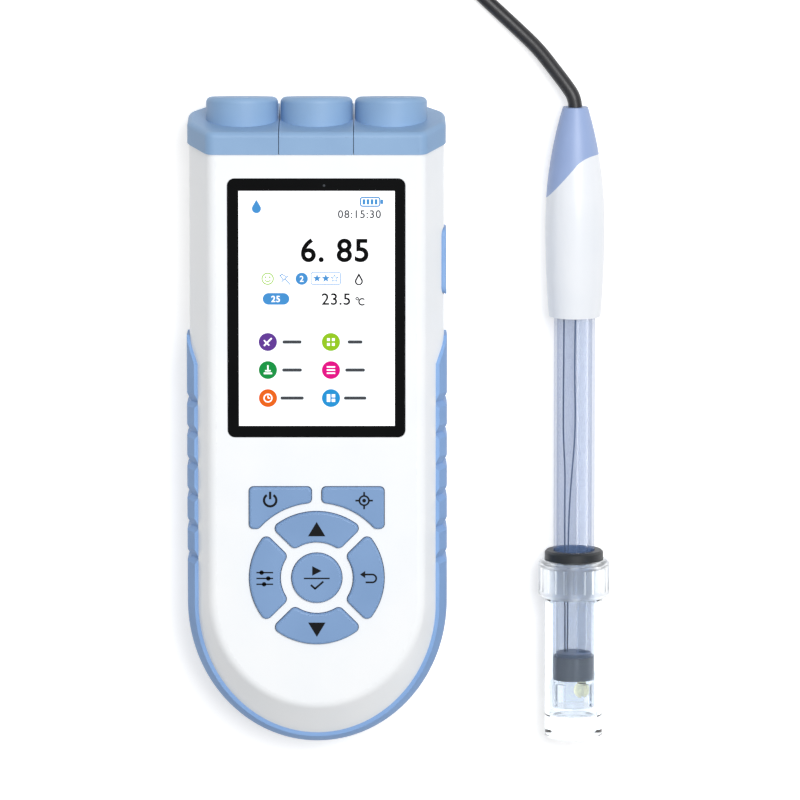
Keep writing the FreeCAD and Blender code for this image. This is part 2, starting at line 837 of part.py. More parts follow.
def ring_point(x, y, radius, share):
    """A point at a share of a turn round a socket's axis."""
    turn = 2 * math.pi * share
    return x + radius * math.cos(turn), y, SOCKET_Z + radius * math.sin(turn)


def flange_form():
    """All three caps' flanges as one block with a rounded outer rim."""
    block = body_form(CAP_PROUD, softened=True).common(end_slab(CAP_SEAT_GAP, CAP_FLANGE))
    block = block.common(level_box(BACK_Z, 2 * FRONT_Z))
    top_y = end_y(FRONT_Z, CAP_FLANGE)
    return round_edges(block, CAP_RIM_R, lambda edge: is_flange_rim(edge, top_y))


def is_flange_rim(edge, front_y):
    """An edge in the sloped upper face, above the surface that the meter lies on."""
    slope = math.tan(math.radians(END_SLOPE))
    for vertex in edge.Vertexes:
        expected = front_y + (FRONT_Z - vertex.Point.z) * slope
        if abs(vertex.Point.y - expected) > 1e-3:
            return False
    return edge.BoundBox.ZMax > BACK_Z + BACK_EDGE_R


def cap_limits(index):
    half = socket_pitch() / 2
    outer = 2 * SIDE_HALF
    edges = (-outer, -half, half, outer)
    left = edges[index] + (CAP_SEAM / 2 if index > 0 else 0)
    right = edges[index + 1] - (CAP_SEAM / 2 if index < 2 else 0)
    return left, right


def cap(index, flange):
    """A flange segment with a round boss, hollow over its socket."""
    x = socket_xs()[index]
    left, right = cap_limits(index)
    segment = flange.common(box((left, 0, BACK_Z - 1), (right, 2 * END_Y, 2 * FRONT_Z)))
    radius = min(CAP_BOSS_R, (socket_pitch() - CAP_SEAM) / 2)
    base = end_y(SOCKET_Z, CAP_SEAT_GAP + CAP_FLANGE / 2)
    boss = along(x, SOCKET_Z, base, CAP_TOP_Y + radius, radius).cut(cap_end())
    boss = round_edges(boss, CAP_TOP_EDGE_R, lambda edge: edge.BoundBox.YMin > CAP_TOP_Y - CAP_FLANGE / 2)
    body = segment.fuse(boss).removeSplitter()
    bore = along(x, SOCKET_Z, END_Y - EXTRA, CAP_TOP_Y - CAP_ROOF, LUG_REACH + CAP_BORE_GAP)
    nut_top = plate_front() - seat_sink() + SOCKET_NUT + CAP_NUT_GAP
    nut_room = along(x, SOCKET_Z, END_Y - EXTRA, nut_top, SOCKET_NUT_R + CAP_NUT_GAP)
    return body.cut(bore).cut(nut_room)


def cap_end():
    """The space beyond the plane, leaning towards the screen side, in which the bosses end."""
    reach = 4 * SIDE_HALF
    space = Part.makeBox(2 * reach, reach, 2 * reach, V(-reach, 0, -reach))
    space.rotate(V(0, 0, 0), V(1, 0, 0), -CAP_END_SLOPE)
    space.translate(V(0, CAP_TOP_Y, SOCKET_Z))
    return space


# USB port


def flap_outer_x():
    return SIDE_HALF + FLAP_PROUD


def flap_inner_x():
    return flap_outer_x() - FLAP_THICK


def flap_plate(grow, low_x, high_x):
    """The flap's outline, extruded along X."""
    half_y = FLAP_LENGTH / 2 + grow
    half_z = FLAP_HEIGHT / 2 + grow
    low = (low_x, USB_Y - half_y, USB_Z - half_z)
    high = (high_x, USB_Y + half_y, USB_Z + half_z)
    return round_edges(box(low, high), FLAP_CORNER_R + grow, is_crosswise)


def is_crosswise(edge):
    box_of = edge.BoundBox
    return box_of.YLength < 1e-6 and box_of.ZLength < 1e-6


def flap_pocket():
    """The flap's recess and the slot through to the socket."""
    seat = flap_inner_x() - FLAP_SEAT_GAP
    pocket = flap_plate(FLAP_GAP, seat, 2 * SIDE_HALF)
    half_y = USB_WIDE / 2 + USB_SLOT_GAP
    half_z = USB_HIGH / 2 + USB_SLOT_GAP
    low = (seat - 2 * WALL, USB_Y - half_y, USB_Z - half_z)
    slot = box(low, (seat + 1, USB_Y + half_y, USB_Z + half_z))
    return pocket.fuse(slot)


def usb_cover():
    """A rubber flap with a short tongue that fills the socket's mouth."""
    flap = flap_plate(0.0, flap_inner_x(), flap_outer_x())
    flap = round_edges(flap, FLAP_EDGE_R, lambda edge: abs(edge.BoundBox.XMin - flap_outer_x()) < 1e-4)
    half_y = (USB_WIDE - USB_HIGH) / 2
    half_z = USB_HIGH / 2 - USB_SHELL - FLAP_SEAT_GAP
    low = (flap_inner_x() - PLUG_TONGUE, USB_Y - half_y, USB_Z - half_z)
    tongue = box(low, (flap_inner_x() + FLAP_THICK / 2, USB_Y + half_y, USB_Z + half_z))
    bead_half = FLAP_HEIGHT / 2 - FLAP_CORNER_R
    bead = upright(
        flap_outer_x() - FLAP_BEAD_IN,
        USB_Y - FLAP_LENGTH / 2,
        USB_Z - bead_half,
        USB_Z + bead_half,
        FLAP_BEAD_R,
    )
    return flap.fuse([tongue, bead])


def usb_mouth_x():
    return flap_inner_x() - FLAP_SEAT_GAP - USB_SINK


def usb_board_z():
    return USB_Z - USB_HIGH / 2


def usb_block(inset, low_x, high_x):
    """The socket's rounded cross-section, drawn in on all sides, extruded along X."""
    half_y = USB_WIDE / 2 - inset
    half_z = USB_HIGH / 2 - inset
    block = box((low_x, USB_Y - half_y, USB_Z - half_z), (high_x, USB_Y + half_y, USB_Z + half_z))
    return round_edges(block, USB_CORNER_R - inset, is_crosswise)


def usb_socket():
    """A flat metal shell with the contact tongue inside."""
    mouth = usb_mouth_x()
    back = mouth - USB_DEEP
    shell = usb_block(0.0, back, mouth).cut(usb_block(USB_SHELL, back + WALL / 2, mouth + 1))
    half_y = USB_TONGUE_WIDE / 2
    half_z = USB_TONGUE_THICK / 2
    tongue_low = (back + WALL / 4, USB_Y - half_y, USB_Z - half_z)
    tongue = box(tongue_low, (mouth - USB_TONGUE_SHORT, USB_Y + half_y, USB_Z + half_z))
    return shell.fuse(tongue)


def usb_board():
    top = usb_board_z()
    edge_x = SIDE_HALF - WALL - USB_BOARD_GAP
    low = (USB_BOARD_IN_X, USB_Y - USB_BOARD_HALF_Y, top - BOARD_THICK)
    return box(low, (edge_x, USB_Y + USB_BOARD_HALF_Y, top))


# Electrode


def rest_y():
    """The collar's upper full-width edge, on which the electrode rests."""
    return COLLAR_TOP_Y - COLLAR_CHAMFER


def probe_tilt():
    """The angle at which the collar and the handle both touch the table, in degrees."""
    return math.degrees(math.atan((COLLAR_R - HANDLE_MAX_R) / (HANDLE_MAX_Y - rest_y())))


def laid(shape):
    """A piece made along Y, laid beside the meter."""
    placed = shape.copy()
    placed.rotate(V(0, rest_y(), 0), V(1, 0, 0), -probe_tilt())
    placed.translate(V(PROBE_X, 0, COLLAR_R * math.cos(math.radians(probe_tilt()))))
    return placed


def laid_point(x, y, z):
    return laid(Part.Vertex(x, y, z)).Point


def grip_blank():
    """Handle and cable boot as one turned form whose side is two arcs that meet smoothly."""
    low = V(HANDLE_LOW_R, HANDLE_LOW_Y, 0)
    widest = V(HANDLE_MAX_R, HANDLE_MAX_Y, 0)
    high = V(BOOT_TOP_R, BOOT_TOP_Y, 0)
    bottom = V(0, HANDLE_LOW_Y, 0)
    top = V(0, BOOT_TOP_Y, 0)
    edges = [
        Part.LineSegment(bottom, low).toShape(),
        Part.Arc(low, swell(low), widest).toShape(),
        Part.Arc(widest, swell(high), high).toShape(),
        Part.LineSegment(high, top).toShape(),
        Part.LineSegment(top, bottom).toShape(),
    ]
    return Part.Face(Part.Wire(edges)).revolve(V(0, 0, 0), V(0, 1, 0), 360)


def swell(end):
    """A point on the arc that leaves the handle's widest place along Y and ends at end."""
    rise = abs(end.y - HANDLE_MAX_Y)
    drop = HANDLE_MAX_R - end.x
    radius = (rise**2 + drop**2) / (2 * drop)
    half_turn = math.asin(rise / radius) / 2
    across = HANDLE_MAX_R - radius + radius * math.cos(half_turn)
    along_y = math.copysign(radius * math.sin(half_turn), end.y - HANDLE_MAX_Y)
    return V(across, HANDLE_MAX_Y + along_y, 0)


def parting_block():
    """The space below the parting line, which climbs from the left and rounds off level."""
    reach = 4 * HANDLE_MAX_R
    slope = math.radians(PARTING_SLOPE)
    centre = V(PARTING_LEVEL_X, PARTING_LEVEL_Y - PARTING_R, -reach)
    start = centre + V(-math.sin(slope), math.cos(slope), 0) * PARTING_R
    middle = centre + V(-math.sin(slope / 2), math.cos(slope / 2), 0) * PARTING_R
    level = centre + V(0, PARTING_R, 0)
    far_left = start - V(math.cos(slope), math.sin(slope), 0) * reach
    far_right = level + V(reach, 0, 0)
    corner = V(far_right.x, far_left.y - reach, -reach)
    low_left = V(far_left.x, corner.y, -reach)
    edges = [
        Part.LineSegment(far_left, start).toShape(),
        Part.Arc(start, middle, level).toShape(),
        Part.LineSegment(level, far_right).toShape(),
        Part.LineSegment(far_right, corner).toShape(),
        Part.LineSegment(corner, low_left).toShape(),
        Part.LineSegment(low_left, far_left).toShape(),
    ]
    return Part.Face(Part.Wire(edges)).extrude(V(0, 0, 2 * reach))


def probe_handle():
    handle = grip_blank().common(parting_block())
    socket = along(0, 0, HANDLE_LOW_Y - 1, HANDLE_LOW_Y + SHAFT_TUCK, SHAFT_R)
    return handle.cut(socket)


def cable_boot():
    return grip_blank().cut(parting_block())


def probe_shaft():
    tube = along(0, 0, SHAFT_END_Y, HANDLE_LOW_Y + SHAFT_TUCK, SHAFT_R)
    return tube.cut(along(0, 0, SHAFT_END_Y - 1, HANDLE_LOW_Y + SHAFT_TUCK + 1, SHAFT_R - SHAFT_WALL))


def shaft_stopper():
    """The dark plug that closes the shaft, with a spigot inside it."""
    plug = along(0, 0, STOPPER_END_Y, SHAFT_END_Y, SHAFT_R)
    spigot = along(0, 0, SHAFT_END_Y, SHAFT_END_Y + STOPPER_SPIGOT, SHAFT_R - SHAFT_WALL)
    hole = along(INNER_X, 0, STOPPER_END_Y - 1, SHAFT_END_Y + STOPPER_SPIGOT + 1, INNER_R)
    return plug.fuse(spigot).removeSplitter().cut(hole)


def tip_guard():
    """A slotted skirt round the bulb."""
    skirt = along(0, 0, GUARD_END_Y, STOPPER_END_Y, SHAFT_R)
    skirt = skirt.cut(along(0, 0, GUARD_END_Y - 1, STOPPER_END_Y + 1, SHAFT_R - GUARD_WALL))
    half = GUARD_SLOT / 2
    reach = 2 * SHAFT_R
    slot_top = STOPPER_END_Y - GUARD_WALL
    for turn in (45, 135):
        slot = box((-half, GUARD_END_Y - 1, -reach), (half, slot_top, reach))
        slot.rotate(V(0, 0, 0), V(0, 1, 0), turn)
        skirt = skirt.cut(slot)
    return skirt


def inner_tube():
    top = HANDLE_LOW_Y + SHAFT_TUCK
    tube = along(INNER_X, 0, STOPPER_END_Y, top, INNER_R)
    return tube.cut(along(INNER_X, 0, STOPPER_END_Y - 1, top + 1, INNER_R - INNER_WALL))


def glass_bulb():
    """The sensing membrane on its stem, under the inner tube."""
    bulb = Part.makeSphere(BULB_R, V(INNER_X, BULB_Y, 0))
    bulb = bulb.common(along(INNER_X, 0, BULB_Y - BULB_R, STOPPER_END_Y, BULB_R + 1))
    stem = along(INNER_X, 0, BULB_Y, STOPPER_END_Y + STOPPER_SPIGOT, INNER_R - INNER_WALL)
    return bulb.fuse(stem)


def kinked_wire(kinks):
    """A thin wire from the handle down to the stopper, beside the inner tube."""
    top = HANDLE_LOW_Y + SHAFT_TUCK
    length = top - SHAFT_END_Y - STOPPER_SPIGOT
    return tube_along([V(across, top - length * share, 0) for across, share in kinks], WIRE_R)


def seal_ring():
    """A rubber washer round the shaft that the collar squeezes."""
    bore = SHAFT_R + FIT
    return revolved(
        (
            (bore, collar_seat_y()),
            (RING_R, collar_seat_y()),
            (RING_R, RING_TOP_Y - RING_EDGE),
            (RING_R - RING_EDGE, RING_TOP_Y),
            (bore, RING_TOP_Y),
        )
    )


def collar_seat_y():
    """The floor of the collar's recess, on which the ring sits."""
    return RING_TOP_Y - RING_THICK


def screw_collar():
    """A knurled cap nut over the bottle's neck."""
    bore = NECK_R + NECK_GAP
    roof = COLLAR_TOP_Y - COLLAR_ROOF
    hole = SHAFT_R + COLLAR_HOLE_GAP
    seat_r = RING_R + FIT
    collar = revolved(
        (
            (hole, roof),
            (bore, roof),
            (bore, COLLAR_END_Y),
            (COLLAR_R - COLLAR_CHAMFER, COLLAR_END_Y),
            (COLLAR_R, COLLAR_END_Y + COLLAR_CHAMFER),
            (COLLAR_R, COLLAR_TOP_Y - COLLAR_CHAMFER),
            (COLLAR_R - COLLAR_CHAMFER, COLLAR_TOP_Y),
            (seat_r, COLLAR_TOP_Y),
            (seat_r, collar_seat_y()),
            (hole, collar_seat_y()),
        )
    )
    low = COLLAR_END_Y + KNURL_INSET
    for step in range(KNURL_COUNT):
        turn = 2 * math.pi * step / KNURL_COUNT
        x = KNURL_RING_R * math.cos(turn)
        z = KNURL_RING_R * math.sin(turn)
        collar = collar.cut(along(x, z, low, COLLAR_TOP_Y - KNURL_INSET, KNURL_R))
    return collar


def storage_bottle():
    """A straight bottle with a neck for the collar and a thick dished base."""
    neck_top = COLLAR_TOP_Y - COLLAR_ROOF - NECK_TOP_GAP
    shoulder = COLLAR_END_Y - SHOULDER_GAP
    inside = BOTTLE_R - BOTTLE_WALL
    edge = BOTTLE_WALL / 2
    bottle = revolved(
        (
            (0, BOTTLE_FLOOR_Y),
            (inside - edge, BOTTLE_FLOOR_Y),
            (inside, BOTTLE_FLOOR_Y + edge),
            (inside, shoulder - BOTTLE_WALL),
            (NECK_BORE_R, shoulder),
            (NECK_BORE_R, neck_top),
            (NECK_R, neck_top),
            (NECK_R, shoulder),
            (BOTTLE_R, shoulder),
            (BOTTLE_R, BOTTLE_END_Y + edge),
            (BOTTLE_R - edge, BOTTLE_END_Y),
            (0, BOTTLE_END_Y),
        )
    )
    dish_r = (inside**2 + BOTTLE_DISH**2) / (2 * BOTTLE_DISH)
    dish = Part.makeSphere(dish_r, V(0, BOTTLE_END_Y + BOTTLE_DISH - dish_r, 0))
    return bottle.cut(dish)


# Lead


def bend_radii(points):
    """The radius of each arc between two runs of a route."""
    radii = []
    for before, here, after in zip(points, points[1:], points[2:]):
        turn = (here - before).getAngle(after - here)
        shorter = min((here - before).Length, (after - here).Length)
        radii.append(BEND_SHARE * shorter / math.tan(turn / 2))
    return radii


def route_wire(points):
    """Straight runs joined by tangent arcs."""
    edges = []
    start = points[0]
    for before, here, after, radius in zip(points, points[1:], points[2:], bend_radii(points)):
        back = (before - here).normalize()
        ahead = (after - here).normalize()
        reach = BEND_SHARE * min((here - before).Length, (after - here).Length)
        first = here + back * reach
        last = here + ahead * reach
        middle = (back + ahead).normalize()
        half = back.getAngle(ahead) / 2
        inside = here + middle * (radius / math.sin(half) - radius)
        edges.append(Part.LineSegment(start, first).toShape())
        edges.append(Part.Arc(first, inside, last).toShape())
        start = last
    edges.append(Part.LineSegment(start, points[-1]).toShape())
    return Part.Wire(edges)


def tube_along(points, radius):
    """A round solid along a route."""
    path = route_wire(points)
    heading = points[1] - points[0]
    section = Part.Wire(Part.Circle(points[0], heading, radius).toShape())
    return path.makePipeShell([section], True, False)


def coil_outer_r():
    return COIL_MID_R + (COIL_ACROSS - 1) * CORD_R


def coil_join(z):
    """Where the lead runs on to the coil's outer turn and off it, and the heading there."""
    turn = math.radians(COIL_JOIN_DEG)
    spot = V(COIL_X + coil_outer_r() * math.cos(turn), COIL_Y + coil_outer_r() * math.sin(turn), z)
    return spot, V(math.sin(turn), -math.cos(turn), 0)


def coil_top_z():
    return (2 * COIL_LAYERS - 1) * CORD_R


def lead_coil():
    """The outer shape of the coil with the stubs that run on and off it."""
    outside = coil_outer_r() + CORD_R
    inside = outside - 2 * COIL_ACROSS * CORD_R
    high = 2 * COIL_LAYERS * CORD_R
    ring = upright(COIL_X, COIL_Y, BACK_Z, BACK_Z + high, outside)
    ring = ring.cut(upright(COIL_X, COIL_Y, BACK_Z - 1, high + 1, inside))
    stub_r = CORD_R - FIT / 2
    sunk = COIL_STUB - 2 * CORD_R
    start, heading = coil_join(CORD_R)
    entry = Part.makeCylinder(stub_r, sunk, start - heading * COIL_STUB, heading)
    start, heading = coil_join(coil_top_z())
    leaving = Part.makeCylinder(stub_r, sunk, start + heading * (COIL_STUB - sunk), heading)
    return ring.fuse([entry, leaving])


def lead_points():
    start, heading = coil_join(CORD_R)
    first = laid_point(0, BOOT_TOP_Y, 0)
    return [first] + [V(*point) for point in ROUTE] + [start - heading * COIL_STUB]


def tail_points():
    start, heading = coil_join(coil_top_z())
    return [start + heading * COIL_STUB, V(*TAIL_MID), plug_origin()]


def lead_cable():
    tube = tube_along(lead_points(), CORD_R)
    return tube.cut(laid(cable_boot())).cut(lead_coil())


def lead_tail():
    tube = tube_along(tail_points(), CORD_R)
    return tube.cut(plugged(plug_boot())).cut(lead_coil())


def plug_origin():
    return V(PLUG_START[0], PLUG_START[1], PLUG_SLEEVE_R)


def plugged(shape):
    """A piece made along Y from the origin, laid on the table as the lead's plug."""
    placed = shape.copy()
    placed.rotate(V(0, 0, 0), V(0, 0, 1), PLUG_HEADING_DEG - 90)
    placed.translate(plug_origin())
    return placed


def plug_boot():
    """A ringed strain relief."""
    boot = revolved(((0, 0), (PLUG_BOOT_LOW_R, 0), (PLUG_BOOT_R, PLUG_BOOT), (0, PLUG_BOOT)))
    for step in range(PLUG_RING_COUNT):
        low = PLUG_RING_FIRST + step * PLUG_RING_PITCH
        high = low + PLUG_RING
        radius = PLUG_BOOT_LOW_R + (PLUG_BOOT_R - PLUG_BOOT_LOW_R) * low / PLUG_BOOT
        groove = along(0, 0, low, high, 2 * PLUG_BOOT_R)
        boot = boot.cut(groove.cut(along(0, 0, low, high, radius - PLUG_RING_DEEP)))
    return boot


def plug_end():
    return PLUG_BOOT + PLUG_CRIMP + PLUG_SLEEVE


def plug_body():
    """The crimped body and the thin barrel inside the sleeve."""
    sleeve = PLUG_BOOT + PLUG_CRIMP
    tip = plug_end() - PLUG_BARREL_SHORT
    body = along(0, 0, PLUG_BOOT, sleeve, PLUG_CRIMP_R)
    body = body.fuse(along(0, 0, sleeve, tip, PLUG_BARREL_R))
    hollow = along(0, 0, sleeve + PLUG_COLLAR, tip + 1, PLUG_BARREL_R - PLUG_BARREL_WALL)
    return body.removeSplitter().cut(hollow)


def plug_sleeve():
    """The bayonet sleeve that turns on the body."""
    sleeve = PLUG_BOOT + PLUG_CRIMP + FIT
    outer = along(0, 0, sleeve, plug_end(), PLUG_SLEEVE_R)
    outer = outer.cut(along(0, 0, 0, plug_end(), PLUG_BARREL_R + FIT))
    wide = PLUG_SLEEVE_R - PLUG_SLEEVE_WALL
    outer = outer.cut(along(0, 0, sleeve + PLUG_COLLAR, plug_end() + 1, wide))
    for step in range(PLUG_RIBS):
        turn = 2 * math.pi * (step + 0.5) / PLUG_RIBS
        x = PLUG_SLEEVE_R * math.cos(turn)
        z = PLUG_SLEEVE_R * math.sin(turn)
        outer = outer.cut(along(x, z, sleeve - 1, sleeve + PLUG_RIB, PLUG_RIB_R))
    half = PLUG_SLOT / 2
    low = (-PLUG_SLEEVE_R, plug_end() - PLUG_SLOT_LONG, -half)
    return outer.cut(box(low, (PLUG_SLEEVE_R, plug_end() + 1, half)))


def plug_pin():
    start = PLUG_BOOT + PLUG_CRIMP + PLUG_COLLAR
    return along(0, 0, start, plug_end() - 2 * PLUG_BARREL_SHORT, PLUG_PIN_R)


def all_pieces():
    flange = flange_form()
    pieces = {
        "front_cover": front_cover(),
        "rear_cover": rear_cover(),
        "housing_gasket": gasket_form(),
        "housing_screws": housing_screws(),
        "grip_bumper": grip_bumper(),
        "display_window": display_window(),
        "display_panel": display_panel(),
        "display_frame": display_frame(),
        "key_mat": key_mat(),
        "main_board": main_board(),
        "board_screws": board_screws(),
        "buzzer": buzzer(),
        "battery_pack": battery_pack(),
        "end_plate": end_plate(),
        "ph_socket": ph_socket(),
        "temperature_socket": temperature_socket(),
        "auxiliary_socket": auxiliary_socket(),
        "socket_nuts": socket_nuts(),
        "cap_left": cap(0, flange),
        "cap_middle": cap(1, flange),
        "cap_right": cap(2, flange),
        "usb_cover": usb_cover(),
        "usb_socket": usb_socket(),
        "usb_board": usb_board(),
        "probe_handle": laid(probe_handle()),
        "cable_boot": laid(cable_boot()),
        "probe_shaft": laid(probe_shaft()),
        "shaft_stopper": laid(shaft_stopper()),
        "tip_guard": laid(tip_guard()),
        "inner_tube": laid(inner_tube()),
        "glass_bulb": laid(glass_bulb()),
        "sensing_wire": laid(kinked_wire(SENSING_KINKS)),
        "reference_wire": laid(kinked_wire(REFERENCE_KINKS)),
        "seal_ring": laid(seal_ring()),
        "screw_collar": laid(screw_collar()),
        "storage_bottle": laid(storage_bottle()),
        "lead_cable": lead_cable(),
        "lead_coil": lead_coil(),
        "lead_tail": lead_tail(),
        "plug_boot": plugged(plug_boot()),
        "plug_body": plugged(plug_body()),
        "plug_sleeve": plugged(plug_sleeve()),
        "plug_pin": plugged(plug_pin()),
    }
    pieces.update(keys())
    return pieces


def report_cord(name, points):
    """Print a route's radii, and its tube's volume beside section times length."""
    radii = ", ".join(f"{radius:.1f}" for radius in bend_radii(points))
    length = route_wire(points).Length
    ratio = tube_along(points, CORD_R).Volume / (math.pi * CORD_R**2 * length)
    print(f"{name}: length {length:.1f}, radii {radii}, volume ratio {ratio:.4f}")


def main():
    os.makedirs("parts", exist_ok=True)
    for name, shape in all_pieces().items():
        if not shape.isValid():
            print(f"{name} is not valid")
        shape.exportStep(f"parts/{name}.step")
    report_cord("lead cable", lead_points())
    report_cord("lead tail", tail_points())


main()
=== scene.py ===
"""Looks of a portable pH meter and its electrode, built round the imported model."""

import json
import math

import bmesh
import bpy
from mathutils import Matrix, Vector


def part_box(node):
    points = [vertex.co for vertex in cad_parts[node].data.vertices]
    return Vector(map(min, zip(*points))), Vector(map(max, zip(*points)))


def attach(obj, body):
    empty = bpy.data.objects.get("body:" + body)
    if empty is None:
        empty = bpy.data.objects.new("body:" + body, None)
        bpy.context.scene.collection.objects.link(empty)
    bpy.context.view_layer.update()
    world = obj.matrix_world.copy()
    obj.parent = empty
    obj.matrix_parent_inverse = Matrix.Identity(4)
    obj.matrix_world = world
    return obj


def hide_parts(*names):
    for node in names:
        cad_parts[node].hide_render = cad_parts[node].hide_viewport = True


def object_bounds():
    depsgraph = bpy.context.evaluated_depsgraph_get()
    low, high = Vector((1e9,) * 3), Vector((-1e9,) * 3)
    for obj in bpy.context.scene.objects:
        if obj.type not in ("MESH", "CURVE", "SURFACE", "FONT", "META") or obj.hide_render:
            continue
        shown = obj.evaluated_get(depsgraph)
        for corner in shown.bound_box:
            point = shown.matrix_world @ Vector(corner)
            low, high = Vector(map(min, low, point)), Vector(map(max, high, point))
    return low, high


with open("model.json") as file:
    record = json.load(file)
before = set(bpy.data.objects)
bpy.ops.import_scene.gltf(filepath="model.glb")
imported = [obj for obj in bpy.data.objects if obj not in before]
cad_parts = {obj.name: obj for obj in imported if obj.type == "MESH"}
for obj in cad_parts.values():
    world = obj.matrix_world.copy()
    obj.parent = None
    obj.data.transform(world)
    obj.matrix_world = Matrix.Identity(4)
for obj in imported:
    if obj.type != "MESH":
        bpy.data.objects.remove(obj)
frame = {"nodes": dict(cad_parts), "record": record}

MM = 0.001
NODES = frame["nodes"]
cad_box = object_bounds()


def mm(*values):
    return Vector([value * MM for value in values])


def srgb(red, green, blue):
    """A colour given in sRGB steps of 0 to 255, as linear light."""
    linear = []
    for value in (red, green, blue):
        share = value / 255
        linear.append(share / 12.92 if share <= 0.04045 else ((share + 0.055) / 1.055) ** 2.4)
    return (*linear, 1.0)


def add(name, data):
    """A new object in the scene."""
    thing = bpy.data.objects.new(name, data)
    bpy.context.scene.collection.objects.link(thing)
    return thing


# Camera: nearly straight down from far off, tipped towards the connector end
LOOK_AT = mm(23.86, 14.43, 34.0)
TIP = math.radians(10)
DISTANCE = 2400 * MM
LENS = 378.0
SENSOR = 36.0
FAR_CLIP = 20.0


def make_camera():
    data = bpy.data.cameras.new("camera")
    data.lens = LENS
    data.sensor_width = SENSOR
    data.clip_end = FAR_CLIP
    camera = add("camera", data)
    camera.location = LOOK_AT + Vector((0, math.sin(TIP), math.cos(TIP))) * DISTANCE
    camera.rotation_euler = (-TIP, 0, 0)
    bpy.context.scene.camera = camera


make_camera()
bpy.context.scene.view_settings.view_transform = "Standard"

# Materials: depths of relief are in millimetres
DRIFT_SCALE = 60.0
DRIFT_LOW = 0.35
DRIFT_HIGH = 0.65
GRAIN_SCALE = 1400.0
GRAIN_DEPTH = 0.02
GRAIN_STRENGTH = 0.5
GRAIN_SMOOTHER = 0.05
GRAIN_ROUGHER = 0.07
FLOW_SCALE = 90.0
FLOW_DETAIL = 2.0
FLOW_STRETCH = (1, 0.25, 1)
FLOW_STRENGTH = 0.3
METAL_SCALE = 900.0
METAL_DEPTH = 0.004
METAL_STRENGTH = 0.4
METAL_SMOOTHER = 0.06
METAL_ROUGHER = 0.1
THIN_IOR = 1.45
EDGE_BLEND = 0.35
EDGE_START = 0.25
SOFT_COAT = 0.15
GLASS_COAT = 0.4
LOW_SHINE = 0.15


def principled(name, color, roughness, **sockets):
    """A material whose uniform values sit on the shader's own sockets."""
    material = bpy.data.materials.new(name)
    material.use_nodes = True
    shader = material.node_tree.nodes["Principled BSDF"]
    shader.inputs["Base Color"].default_value = color
    shader.inputs["Roughness"].default_value = roughness
    for socket, value in sockets.items():
        shader.inputs[socket.replace("_", " ")].default_value = value
    return material


def noise(material, scale, detail=3.0, stretch=(1, 1, 1)):
    """A noise texture in the object's own metres."""
    tree = material.node_tree
    where = tree.nodes.new("ShaderNodeTexCoord")
    mapping = tree.nodes.new("ShaderNodeMapping")
    mapping.inputs["Scale"].default_value = stretch
    texture = tree.nodes.new("ShaderNodeTexNoise")
    texture.inputs["Scale"].default_value = scale
    texture.inputs["Detail"].default_value = detail
    tree.links.new(where.outputs["Object"], mapping.inputs["Vector"])
    tree.links.new(mapping.outputs["Vector"], texture.inputs["Vector"])
    return texture.outputs["Fac"]


def mottle(material, source, color, other):
    """Base colour that drifts between two near shades."""
    tree = material.node_tree
    ramp = tree.nodes.new("ShaderNodeValToRGB")
    ramp.color_ramp.elements[0].position = DRIFT_LOW
    ramp.color_ramp.elements[0].color = color
    ramp.color_ramp.elements[1].position = DRIFT_HIGH
    ramp.color_ramp.elements[1].color = other
    tree.links.new(source, ramp.inputs["Fac"])
    tree.links.new(ramp.outputs["Color"], tree.nodes["Principled BSDF"].inputs["Base Color"])


def vary_roughness(material, source, low, high):
    tree = material.node_tree
    spread = tree.nodes.new("ShaderNodeMapRange")
    spread.inputs["To Min"].default_value = low
    spread.inputs["To Max"].default_value = high
    tree.links.new(source, spread.inputs["Value"])
    tree.links.new(spread.outputs["Result"], tree.nodes["Principled BSDF"].inputs["Roughness"])


def bump(material, source, depth, strength):
    tree = material.node_tree
    node = tree.nodes.new("ShaderNodeBump")
    node.inputs["Strength"].default_value = strength
    node.inputs["Distance"].default_value = depth * MM
    tree.links.new(source, node.inputs["Height"])
    tree.links.new(node.outputs["Normal"], tree.nodes["Principled BSDF"].inputs["Normal"])


def moulded(name, color, shade, roughness, depth=GRAIN_DEPTH, scale=GRAIN_SCALE, **sockets):
    """Moulded plastic or rubber: a slow drift of colour and a fine grain."""
    material = principled(name, color, roughness, **sockets)
    mottle(material, noise(material, DRIFT_SCALE), color, shade)
    grain = noise(material, scale)
    vary_roughness(material, grain, roughness - GRAIN_SMOOTHER, roughness + GRAIN_ROUGHER)
    bump(material, grain, depth, GRAIN_STRENGTH)
    return material


def flow_marks(material, smoothest, roughest, depth):
    """Faint marks drawn out along the part, as clear mouldings and glass have."""
    flow = noise(material, FLOW_SCALE, FLOW_DETAIL, FLOW_STRETCH)
    vary_roughness(material, flow, smoothest, roughest)
    bump(material, flow, depth, FLOW_STRENGTH)


def thin_clear(name, tint, roughness, face, edge, depth):
    """Thin clear stuff: see-through face on, and more of its tint along its edges."""
    material = principled(name, tint, roughness, IOR=THIN_IOR)
    tree = material.node_tree
    facing = tree.nodes.new("ShaderNodeLayerWeight")
    facing.inputs["Blend"].default_value = EDGE_BLEND
    cover = tree.nodes.new("ShaderNodeMapRange")
    cover.inputs["From Min"].default_value = EDGE_START
    cover.inputs["To Min"].default_value = face
    cover.inputs["To Max"].default_value = edge
    tree.links.new(facing.outputs["Facing"], cover.inputs["Value"])
    tree.links.new(cover.outputs["Result"], tree.nodes["Principled BSDF"].inputs["Alpha"])
    flow_marks(material, roughness * 0.7, roughness * 1.4, depth)
    return material


def clear(name, tint, roughness, ior, depth, **sockets):
    """Clear moulded plastic or glass that bends the light."""
    material = principled(name, tint, roughness, IOR=ior, Transmission_Weight=1.0, **sockets)
    flow_marks(material, roughness * 0.6, roughness * 1.5, depth)
    return material


